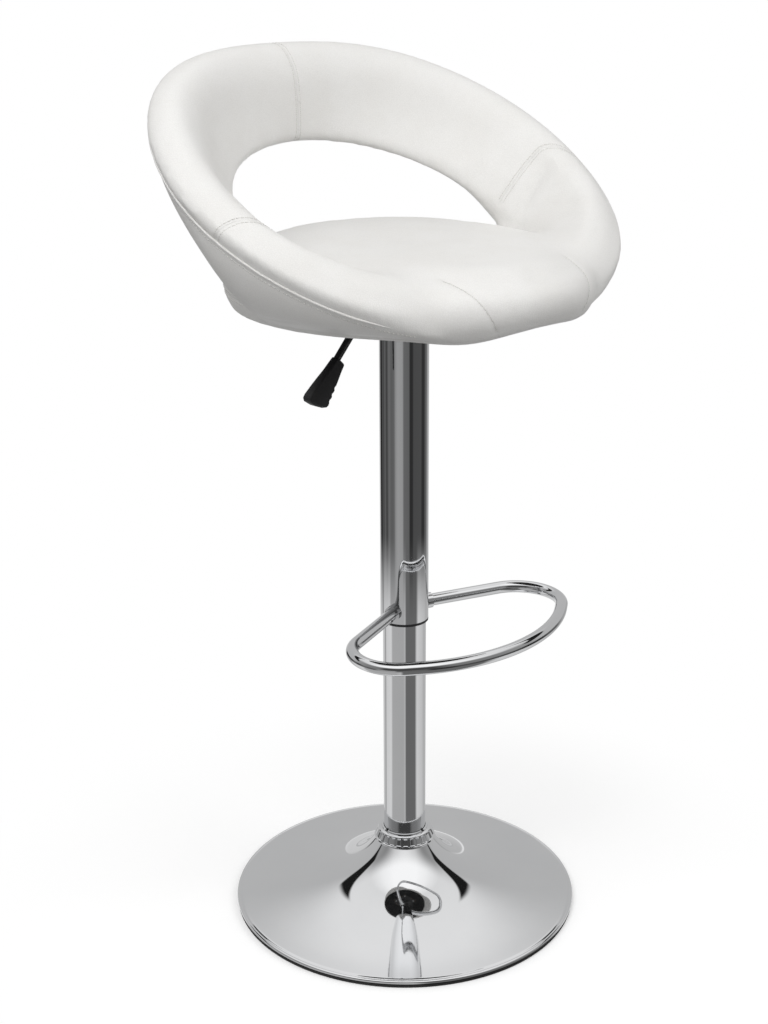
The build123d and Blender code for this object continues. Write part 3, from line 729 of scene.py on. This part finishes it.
def softenFolds(obj):  # draw the cover across the folds at the arms, and round the back's inner edge
    points = readPoints(obj)
    spread, turn = polar(points)
    level = points[:, 2]
    marks = everyTurn(ring["start"], folds["to"], folds["every"])
    crease = np.interp(turn, marks, [ringCorners(angle)[3][0] for angle in marks])
    arm = bell(spread - crease, folds["width"]) * bell(level - folds["level"], folds["height"])
    arm *= ramp(turn, folds["from"], folds["fade"]) * ramp(turn, folds["to"], -folds["fade"])
    tip = bell(turn - folds["tipAngle"], folds["tipSpread"])
    tip *= bell(level - folds["tipLevel"], folds["tipHeight"])
    marks = everyTurn(folds["rollFrom"], 180.0, folds["rollEvery"])
    edge = np.array([ringCorners(angle)[2] for angle in marks])
    away = np.hypot(spread - np.interp(turn, marks, edge[:, 0]), level - np.interp(turn, marks, edge[:, 1]))
    roll = bell(away, folds["rollWidth"]) * ramp(turn, folds["rollFrom"], folds["rollFade"])
    weight = np.maximum(arm, np.maximum(tip * folds["tipShare"], roll * folds["rollShare"]))
    relax(obj, folds["rounds"], folds["pushes"], weight[:, None])


def makeCushion(look):
    body, disc = ringShell(), seatShell()
    outward(body)
    outward(disc)
    only(body)
    disc.select_set(True)
    bpy.ops.object.join()
    body.name = body.data.name = "seatCushion"
    body.data.remesh_voxel_size = look["voxel"]
    bpy.ops.object.voxel_remesh()
    relax(body, look["relax"], look["pushes"])
    stuff(body, look)
    relax(body, look["relax"], look["pushes"])
    softenFolds(body)
    only(body)
    finer = body.modifiers.new("finer", "SUBSURF")
    finer.levels = finer.render_levels = 1
    bpy.ops.object.modifier_apply(modifier="finer")
    return body


cushionPiece = makeCushion(cushion)
print("stool: cushion has", len(cushionPiece.data.polygons), "faces")

rollUnder = {
    "radius": 0.190, "width": 0.007, "hang": 0.0040, "hangDepth": 0.016, "flatDepth": 0.0115,
    "felt": 0.1845, "feltRoom": 0.0022, "board": 0.1685, "boardRoom": 0.0142,
    "nose": 0.0070, "noseAngle": 27.0, "noseSpread": 15.0, "noseTop": 0.790, "noseInner": 0.182,
    "noseFade": 0.006,
}


def flatUnder(obj, look):  # room for the board and the felt, and a cover that rolls under round them
    points = readPoints(obj)
    spread, turn = polar(points)
    level, under = points[:, 2].copy(), seat["under"]
    hang = bell(spread - look["radius"], look["width"])
    hang *= ramp(level, under + look["hangDepth"], -look["hangDepth"])
    nose = bell(turn - look["noseAngle"], look["noseSpread"])
    nose *= ramp(level, look["noseTop"], under - look["noseTop"])
    nose *= ramp(spread, look["noseInner"], look["noseFade"])
    points[:, 2] = np.maximum(level, under) - look["hang"] * hang - look["nose"] * nose
    low = level < under + look["flatDepth"]
    points[low & (spread < look["felt"]), 2] = under + look["feltRoom"]
    points[low & (spread < look["board"]), 2] = under + look["boardRoom"]
    writePoints(obj, points)


flatUnder(cushionPiece, rollUnder)

# seams: lines laid on the cover, pressed into it and sewn
seams = {
    "leftAngle": (80.0, 99.0), "rightAngle": (86.0, 73.0), "rearAngle": 97.0, "rear": (0.199, 0.757),
    "every": 3.0,
    "rowGap": 0.0032, "dip": 0.0007, "dipWidth": 0.0045, "reach": 0.03, "beyond": 0.05,
    "spacing": 0.0015, "rounds": 12,
}
frontSeam = [
    (0.094, -0.148, 0.795), (0.088, -0.172, 0.786), (0.084, -0.190, 0.774), (0.078, -0.198, 0.760),
    (0.067, -0.196, 0.744),
]
# painted crease shade: how far a fold must bend to be fully darkened, and the stronger painted shadow low
# under the panel
creaseShading = {"full": 0.12, "below": 0.785, "beyond": 0.185, "panelShadowGain": 4.0, "rounds": 3}


def surfaceOf(obj):
    mesh = obj.data
    return BVHTree.FromPolygons([v.co for v in mesh.vertices], [p.vertices[:] for p in mesh.polygons])


def layLine(skin, points, spacing):
    points = np.array(points, float)
    run = runAlong(points)
    dense = spotsAt(points, run, np.linspace(0.0, run[-1], max(int(run[-1] / spacing), 4)))
    for i in range(seams["rounds"]):  # round off the corners of the drawn line
        dense[1:-1] = (dense[:-2] + 2.0 * dense[1:-1] + dense[2:]) / 4.0
    laid, out = [], []
    for p in dense:
        spot, normal, index, away = skin.find_nearest(Vector(p))
        laid.append(spot)
        out.append(normal)
    return np.array(laid), np.array(out)


def ringLine(side, rimAngle, creaseAngle):
    count = len(ringSection(rimAngle)[0])
    line = []
    for i in range(1, count):
        angle = mix(rimAngle, creaseAngle, i / (count - 1))
        line.append(around(side * angle, ringSection(angle)[0][i]))
    return line


def rearLine():
    spots = everyTurn(seams["rearAngle"], 360.0 - seams["rearAngle"], seams["every"])
    return [around(angle, seams["rear"]) for angle in spots]


seamLines = {
    "back": ringLine(1.0, 180.0, 180.0),
    "left": ringLine(1.0, *seams["leftAngle"]),
    "right": ringLine(-1.0, *seams["rightAngle"]),
    "frontLeft": frontSeam,
    "frontRight": [(-x, y, z) for x, y, z in frontSeam],
    "rear": rearLine(),
}


def paintedCreaseShade(obj):  # painted shade: 1 where the cover folds in on itself, 0 where it is flat or full, more under the panel's rear
    points, normals = readPoints(obj), readNormals(obj)
    a, b = readEdges(obj)
    run = points[b] - points[a]
    size = np.maximum(np.linalg.norm(run, axis=1), 1e-9)
    bend = np.zeros(len(points))
    np.add.at(bend, a, (run * normals[a]).sum(1) / size)
    np.add.at(bend, b, -(run * normals[b]).sum(1) / size)
    share = np.maximum(np.bincount(np.r_[a, b], minlength=len(points)), 1)
    bend = np.clip(bend / share, 0.0, None)
    for i in range(creaseShading["rounds"]):
        total = np.bincount(a, bend[b], len(points)) + np.bincount(b, bend[a], len(points))
        bend = (bend + total / share) / 2.0
    # painted shadow under the panel's rear: low creases far from the axis are darkened more
    outside = (points[:, 2] < creaseShading["below"]) & (polar(points)[0] > creaseShading["beyond"])
    return np.clip(bend / creaseShading["full"] * np.where(outside, creaseShading["panelShadowGain"], 1.0), 0.0, 1.0)


def pressSeams(obj):
    skin = surfaceOf(obj)
    lines = [layLine(skin, drawn, seams["spacing"]) for drawn in seamLines.values()]
    points, normals = readPoints(obj), readNormals(obj)
    tree = KDTree(sum(len(line) for line, out in lines))
    flat = []
    for line, out in lines:
        side = np.cross(directions(line), out)
        for p, s in zip(line, side):
            tree.insert(Vector(p), len(flat))
            flat.append((p, s))
    tree.balance()
    run = np.full(len(points), seams["beyond"])
    for i, p in enumerate(points):
        spot, index, away = tree.find(Vector(p))
        if away < seams["reach"]:
            run[i] = math.copysign(away, float(np.dot(p - flat[index][0], flat[index][1])))
    writePoints(obj, points - normals * (seams["dip"] * bell(run, seams["dipWidth"]))[:, None])
    writeMark(obj, "seamRun", run)
    # the crease mark carries the painted shade into the leather's colour
    writeMark(obj, "tuck", paintedCreaseShade(obj))


pressSeams(cushionPiece)
softShade(cushionPiece, cushion["smooth"])
dress(cushionPiece, leather)
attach(cushionPiece, "lift")
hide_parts("ring_pad", "seat_pad")
print("stool: seams pressed")

# stitches: one small thread, copied along each row
stitch = {
    "length": 0.0038, "pitch": 0.0046, "width": 0.0010, "height": 0.0007, "dip": 0.00022, "sit": 0.3,
    "segments": 8, "rings": 6, "smooth": 60.0,
}


def oneStitch():
    only(None)
    bpy.ops.mesh.primitive_uv_sphere_add(segments=stitch["segments"], ring_count=stitch["rings"], radius=0.5)
    obj = bpy.context.object
    only(obj)
    bpy.ops.object.mode_set(mode="EDIT")
    bpy.ops.mesh.select_all(action="SELECT")
    bpy.ops.transform.resize(value=(stitch["length"], stitch["width"], stitch["height"]))
    bpy.ops.object.mode_set(mode="OBJECT")
    points = readPoints(obj)
    ends = (2.0 * points[:, 0] / stitch["length"]) ** 2
    points[:, 2] -= stitch["dip"] * ends  # the ends pull into the leather
    faces = [tuple(p.vertices) for p in obj.data.polygons]
    bpy.data.objects.remove(obj)
    return points, faces, ends


stitchPoints, stitchFaces, stitchEndShadeShare = oneStitch()


def sewRow(skin, line, out, offset):
    spots = line + np.cross(directions(line), out) * offset
    run = runAlong(spots)
    row = spotsAt(spots, run, np.arange(stitch["pitch"] / 2.0, run[-1], stitch["pitch"]))
    made = []
    for p, a in zip(row, directions(row)):
        spot, normal, index, away = skin.find_nearest(Vector(p))
        n = np.array(normal)
        a = a - n * np.dot(a, n)
        a /= np.linalg.norm(a)
        made.append((np.array(spot) + n * stitch["height"] * stitch["sit"], a, np.cross(n, a), n))
    return made


def sewn(name, places):
    points, faces = [], []
    for spot, along, across, up in places:
        base = len(points)
        points += list(spot + stitchPoints @ np.array([along, across, up]))
        faces += [tuple(base + i for i in face) for face in stitchFaces]
    obj = newPiece(name, points, faces)
    # the end share of each stitch carries the painted shade at its ends
    writeMark(obj, "stitchEnd", np.tile(stitchEndShadeShare, len(places)))
    softShade(obj, stitch["smooth"])
    dress(obj, thread)
    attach(obj, "lift")


skin = surfaceOf(cushionPiece)
for name, drawn in seamLines.items():
    line, out = layLine(skin, drawn, seams["spacing"])
    rows = (0.0,) if name.startswith("front") else (-seams["rowGap"], seams["rowGap"])
    sewn("stitches_" + name, [place for offset in rows for place in sewRow(skin, line, out, offset)])
print("stool: stitches sewn")

# piping along the rim, with a row of stitches on the panel below it
piping = {
    "radius": 0.0013, "proud": 1.25, "sides": 10, "from": 42.0, "every": 1.5, "spacing": 0.004,
    "smooth": 60.0,
    "runOut": 0.070, "endShare": 0.25, "stitchDrop": 0.0075, "stitchSpacing": 0.002, "panelStep": 5,
}


def rimLine(drop):
    line = []
    for angle in everyTurn(piping["from"], 360.0 - piping["from"], piping["every"]):
        inner, under, panel = ringSection(min(angle, 360.0 - angle))
        rim, below = inner[0], panel[-piping["panelStep"]]
        share = min(drop / math.dist(rim, below), 1.0)
        line.append(around(angle, (mix(rim[0], below[0], share), mix(rim[1], below[1], share))))
    return line


def tube(name, line, radii, sides, up):
    loops = []
    for p, a, u, radius in zip(line, directions(line), up, radii):
        across = np.cross(a, u)
        across /= np.linalg.norm(across)
        lift = np.cross(across, a)
        spots = [2.0 * math.pi * k / sides for k in range(sides)]
        loops.append([p + radius * (math.cos(spot) * across + math.sin(spot) * lift) for spot in spots])
    obj = skinned(name, loops)
    outward(obj)
    return obj


rimOnSkin, rimOut = layLine(skin, rimLine(0.0), piping["spacing"])
rimRun = runAlong(rimOnSkin)
fromEnd = np.minimum(rimRun, rimRun[-1] - rimRun) / piping["runOut"]
pipingRadii = piping["radius"] * np.array([mix(piping["endShare"], 1.0, ease(share)) for share in fromEnd])
pipingLine = rimOnSkin + rimOut * (piping["proud"] * pipingRadii - piping["radius"])[:, None]
pipingPiece = tube("rimPiping", pipingLine, pipingRadii, piping["sides"], rimOut)
softShade(pipingPiece, piping["smooth"])
dress(pipingPiece, pipingLeather)
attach(pipingPiece, "lift")
panelLine, panelOut = layLine(skin, rimLine(piping["stitchDrop"]), piping["stitchSpacing"])
sewn("stitches_rim", sewRow(skin, panelLine, panelOut, 0.0))
print("stool: piping laid")


# the foot, its collar and the grip: a point is drawn along the outline, which is then spun or thickened
def drawLine(name, line):
    only(None)
    bpy.ops.mesh.primitive_plane_add(size=0.001)
    obj = bpy.context.object
    obj.name = obj.data.name = name
    only(obj)
    bpy.ops.object.mode_set(mode="EDIT")
    bpy.ops.mesh.select_all(action="SELECT")
    bpy.ops.mesh.merge(type="CENTER")
    bpy.ops.transform.translate(value=line[0])
    for a, b in zip(line, line[1:]):
        bpy.ops.mesh.extrude_region_move(TRANSFORM_OT_translate={"value": Vector(b) - Vector(a)})
    bpy.ops.mesh.select_all(action="SELECT")
    return obj


def turned(name, section, turns):
    obj = drawLine(name, [(r, 0.0, z) for r, z in section])
    bpy.ops.mesh.spin(steps=turns, angle=2.0 * math.pi, center=(0.0, 0.0, 0.0), axis=(0.0, 0.0, 1.0))
    outward(obj)
    return obj


def smoothRun(points, count):  # a fair curve through the points
    points = np.array(points)
    run = runAlong(points)
    gaps = np.diff(run)
    size = len(run)
    system = np.eye(size)
    wanted = np.zeros((size, 2))
    for i in range(1, size - 1):
        system[i, i - 1 : i + 2] = gaps[i - 1], 2.0 * (gaps[i - 1] + gaps[i]), gaps[i]
        ahead, behind = (points[i + 1] - points[i]) / gaps[i], (points[i] - points[i - 1]) / gaps[i - 1]
        wanted[i] = 6.0 * (ahead - behind)
    bend = np.linalg.solve(system, wanted)
    made = []
    for mark in np.linspace(0.0, run[-1], count):
        i = min(int(np.searchsorted(run, mark, "right")) - 1, size - 2)
        t, u, h = run[i + 1] - mark, mark - run[i], gaps[i]
        curve = (bend[i] * t**3 + bend[i + 1] * u**3) / (6.0 * h)
        curve += (points[i] / h - bend[i] * h / 6.0) * t + (points[i + 1] / h - bend[i + 1] * h / 6.0) * u
        made.append(tuple(curve))
    return made


footShape = {
    "top": [
        (0.0340, 0.0768), (0.0500, 0.0572), (0.0730, 0.0388), (0.0920, 0.0297), (0.1200, 0.0209),
        (0.1500, 0.0149),
        (0.1800, 0.0108), (0.2002, 0.0089),
    ],
    "steps": 72, "sheet": 0.0016, "bore": 0.0256, "turns": 192, "smooth": 40.0,
    "bead": (0.2026, 0.0062, 0.0024), "beadTurn": (125.0, -73.0, -18.0),
    "lip": 0.191, "lipUnder": 0.0038, "lipEdge": 0.0015, "lipRoom": 0.003,
}


def footSection(shape):
    top = smoothRun(shape["top"], shape["steps"])
    x, z, size = shape["bead"]
    turns = np.radians(everyTurn(*shape["beadTurn"]))
    bead = [(x + size * math.cos(turn), z + size * math.sin(turn)) for turn in turns]
    inside = [(r, h - shape["sheet"]) for r, h in reversed(top) if r < shape["lip"] - shape["lipRoom"]]
    lip = [(shape["lip"], shape["lipUnder"]), (shape["lip"], shape["lipUnder"] + shape["lipEdge"])]
    start = (shape["bore"], top[0][1])
    return [start] + top + bead + lip + inside + [(shape["bore"], inside[-1][1]), start]


footPiece = turned("footPlate", footSection(footShape), footShape["turns"])
softShade(footPiece, footShape["smooth"])
dress(footPiece, chrome)
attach(footPiece, "base")
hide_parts("base_plate")

collarShape = {
    "section": [
        (0.0255, 0.0769), (0.0348, 0.0769), (0.0361, 0.0773), (0.0366, 0.0783), (0.0362, 0.0793),
        (0.0352, 0.0798),
        (0.0342, 0.0801), (0.0306, 0.0878), (0.0316, 0.0883), (0.0320, 0.0893), (0.0315, 0.0903),
        (0.0302, 0.0908),
        (0.0280, 0.0910), (0.0274, 0.0926), (0.0255, 0.0928), (0.0255, 0.0769),
    ],
    "band": (0.0803, 0.0876), "ribs": 26, "perRib": 8, "raised": 6, "edge": 0.0010, "depth": 0.0016,
    "smooth": 32.0,
}


def raiseRibs(obj, shape):
    only(obj)
    mesh = obj.data
    low, high = shape["band"]
    for part in (mesh.vertices, mesh.edges, mesh.polygons):
        part.foreach_set("select", np.zeros(len(part), bool))
    for face in mesh.polygons:
        middle = face.center
        outside = face.normal.x * middle.x + face.normal.y * middle.y > 0.0
        turn = math.atan2(middle.y, middle.x) / (2.0 * math.pi) % 1.0
        place = int(turn * shape["ribs"] * shape["perRib"]) % shape["perRib"]
        face.select = outside and low < middle.z < high and place < shape["raised"]
    bpy.ops.object.mode_set(mode="EDIT")
    bpy.ops.mesh.select_mode(type="FACE")
    bpy.ops.mesh.inset(thickness=shape["edge"], depth=shape["depth"])
    bpy.ops.mesh.select_mode(type="VERT")
    bpy.ops.object.mode_set(mode="OBJECT")


collarPiece = turned("neckCollar", collarShape["section"], collarShape["ribs"] * collarShape["perRib"])
raiseRibs(collarPiece, collarShape)
softShade(collarPiece, collarShape["smooth"])
dress(collarPiece, chrome)
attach(collarPiece, "base")
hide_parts("base_collar")

gripShape = {
    "root": (-0.10067, 0.0, 0.6888), "slant": 47.0, "thick": (0.0100, 0.0130), "length": 0.056,
    "round": 0.0024, "roundSteps": 3, "roundAngle": 60.0, "smooth": 50.0,
    "outline": [
        (0.0000, -0.0040), (0.0180, -0.0056), (0.0380, -0.0086), (0.0520, -0.0100), (0.0565, -0.0092),
        (0.0585, -0.0055), (0.0570, 0.0040), (0.0535, 0.0130), (0.0500, 0.0178), (0.0470, 0.0190),
        (0.0442, 0.0184), (0.0420, 0.0164), (0.0395, 0.0174), (0.0368, 0.0174), (0.0346, 0.0152),
        (0.0320, 0.0162), (0.0294, 0.0162), (0.0272, 0.0138), (0.0245, 0.0148), (0.0200, 0.0140),
        (0.0100, 0.0118), (0.0000, 0.0102),
    ],
}


def makeGrip(shape):
    slant = math.radians(shape["slant"])
    aim = Vector((-math.cos(slant), 0.0, -math.sin(slant)))
    across = Vector((math.sin(slant), 0.0, -math.cos(slant)))
    root = Vector(shape["root"])
    line = [root + aim * u + across * w for u, w in shape["outline"]]
    obj = drawLine("pullGrip", line)
    bpy.ops.mesh.edge_face_add()
    bpy.ops.mesh.extrude_region_move(TRANSFORM_OT_translate={"value": (0.0, 1.0, 0.0)})
    outward(obj)
    points = readPoints(obj)
    along = np.clip((points - np.array(root)) @ np.array(aim) / shape["length"], 0.0, 1.0)
    points[:, 1] = (points[:, 1] - 0.5) * mix(*shape["thick"], along)
    writePoints(obj, points)
    only(obj)
    edge = obj.modifiers.new("edge", "BEVEL")
    edge.width = shape["round"]
    edge.segments = shape["roundSteps"]
    edge.limit_method = "ANGLE"
    edge.angle_limit = math.radians(shape["roundAngle"])
    bpy.ops.object.modifier_apply(modifier="edge")
    softShade(obj, shape["smooth"])
    return obj


gripPiece = makeGrip(gripShape)
dress(gripPiece, plastic)
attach(gripPiece, "lever")
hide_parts("lever_grip")
print("stool: foot, collar and grip shaped")

# floor, world and lamps: tones are given by angle from the camera's side of the column
stage = {
    "floor": 24.0, "floorDrop": 0.0004, "floorPaint": 0.78, "floorLight": 0.30, "fade": (0.22, 0.56),
    "bounce": 0.37,
    "nearEnd": (0.85, 1.35), "camAngle": 45.2, "world": 0.55, "cornice": (0.50, 0.78),
    "beamFrom": 98.0, "beamTo": 143.0, "beamLow": 0.40, "beamRise": 0.30, "beamThick": 0.070, "beamSoft": 1.5,
    "beamEnd": 0.05, "beamTone": 0.012,
}
wallTones = [
    (-180, 0.52), (-110, 0.50), (-96, 0.34), (-70, 0.24), (-42, 0.20), (-28, 0.06), (28, 0.06), (42, 0.20),
    (70, 0.24), (96, 0.34), (110, 0.50), (180, 0.52),
]
ceilingTones = [
    (-180, 0.86), (-100, 0.80), (-70, 1.00), (-40, 1.10), (40, 1.10), (70, 1.00), (100, 0.80), (180, 0.86),
]
farTones = [
    (-180, 0.85), (-152, 0.55), (-146, 0.45), (-140, 0.015), (-126, 0.02), (-120, 0.10), (-112, 0.06),
    (-100, 0.13), (-88, 0.05), (-75, 0.16), (-60, 0.12), (-48, 0.14), (-40, 0.30), (-30, 0.36), (-8, 0.34),
    (-2, 0.15), (22, 0.13), (26, 0.03), (38, 0.03), (44, 0.075), (84, 0.08), (90, 0.035), (106, 0.035),
    (112, 0.11), (124, 0.14), (134, 0.38), (150, 0.45), (165, 0.85), (180, 0.85),
]
nearTones = [
    (-180, 0.70), (-140, 0.60), (-128, 0.55), (-121, 0.25), (-113, 0.68), (-75, 0.74), (-66, 0.44),
    (-5, 0.43),
    (3, 0.52), (8, 0.15), (58, 0.15), (64, 0.48), (70, 0.70), (108, 0.60), (125, 0.48), (160, 0.50),
    (180, 0.70),
]


def roundTurn(tree, x, y):  # direction round the column: 0.5 towards the camera, 0 and 1 away from it
    spot = tree.node("ShaderNodeMath", {"operation": "ARCTAN2"}, {0: x, 1: y * -1.0}) / (2.0 * math.pi)
    return tree.node("ShaderNodeMath", {"operation": "FRACT"}, {0: spot + (stage["camAngle"] / 360.0 + 0.5)})


def roundTones(tree, turn, tones):
    stops = [(angle / 360.0 + 0.5, (tone,) * 3) for angle, tone in tones]
    return tree.node("ShaderNodeValToRGB", {"stops": stops}, {"Fac": turn}, "Color")


def makeFloor():
    only(None)
    bpy.ops.mesh.primitive_plane_add(size=stage["floor"], location=(0.0, 0.0, -stage["floorDrop"]))
    floor = bpy.context.object
    floor.name = "floor"
    f = Finish("floor")
    f.tree.nodes.remove(f.shader)
    x, y, z = f.parts(f.place())
    away = (x * x + y * y) ** 0.5
    camera, glossy = f.rays("Camera", "Glossy")
    turn = roundTurn(f, x, y)
    near, far = roundTones(f, turn, nearTones), roundTones(f, turn, farTones)
    tones = f.tint(away.step(*stage["nearEnd"]), near, far)
    seen = f.glow("ShaderNodeEmission", tones)
    lit = f.node("ShaderNodeBsdfDiffuse", {}, {"Color": grey(stage["floorPaint"])})
    glow = f.glow("ShaderNodeEmission", grey(1.0), stage["floorLight"])
    pale = f.node("ShaderNodeAddShader", {}, {0: lit, 1: glow})
    pale = f.blend(away.step(*stage["fade"]), pale, f.glow("ShaderNodeEmission", grey(1.0)))
    bounce = f.node("ShaderNodeBsdfDiffuse", {}, {"Color": grey(stage["bounce"])})
    shader = f.blend(glossy, f.blend(camera, bounce, pale), seen)
    f.put(f.tree.nodes["Material Output"].inputs["Surface"], shader)
    dress(floor, f)


def makeWorld():
    world = bpy.data.worlds.new("studio")
    scene.world = world
    world.use_nodes = True
    t = Tree(world.node_tree)
    t.tree.nodes.clear()
    x, y, z = t.parts(t.node("ShaderNodeTexCoord", {}, {}, "Generated"))
    camera, glossy, through = t.rays("Camera", "Glossy", "Transmission")
    turn = roundTurn(t, x, y)
    wall, ceiling = roundTones(t, turn, wallTones), roundTones(t, turn, ceilingTones)
    tones = t.tint(z.step(*stage["cornice"]), wall, ceiling)
    aside = abs(turn - 0.5) * 360.0
    along = (aside - stage["beamFrom"]) / (stage["beamTo"] - stage["beamFrom"])
    height = abs(z - (along * stage["beamRise"] + stage["beamLow"]))
    end = stage["beamEnd"]
    beam = 1.0 - height.step(stage["beamThick"], stage["beamThick"] * stage["beamSoft"])
    beam = beam * along.step(-end, end) * (1.0 - along.step(1.0 - end, 1.0 + end))
    tones = t.tint(beam, tones, grey(stage["beamTone"]))
    mirror = t.glow("ShaderNodeBackground", tones)
    white = t.glow("ShaderNodeBackground", grey(1.0))
    soft = t.glow("ShaderNodeBackground", grey(1.0), stage["world"])
    shader = t.blend(camera.most(through), t.blend(glossy, soft, mirror), white)
    out = t.tree.nodes.new("ShaderNodeOutputWorld")
    t.put(out.inputs["Surface"], shader)


lamps = {
    "key": {"place": (-1.9, -0.5, 2.8), "size": 2.0, "power": 42.0},
    "fill": {"place": (0.9, -1.9, 2.2), "size": 1.8, "power": 18.0},
}
lampAim = (0.0, 0.0, 0.8)


def makeLamps():
    for name, lamp in lamps.items():
        data = bpy.data.lights.new(name, "AREA")
        data.shape = "DISK"
        data.size = lamp["size"]
        data.energy = lamp["power"]
        obj = bpy.data.objects.new(name, data)
        scene.collection.objects.link(obj)
        obj.location = lamp["place"]
        aim = Vector(lampAim) - Vector(lamp["place"])
        obj.rotation_euler = aim.to_track_quat("-Z", "Y").to_euler()
        obj.visible_glossy = False


makeFloor()
makeWorld()
makeLamps()
scene.view_settings.view_transform = "Standard"
print("stool: stage set")
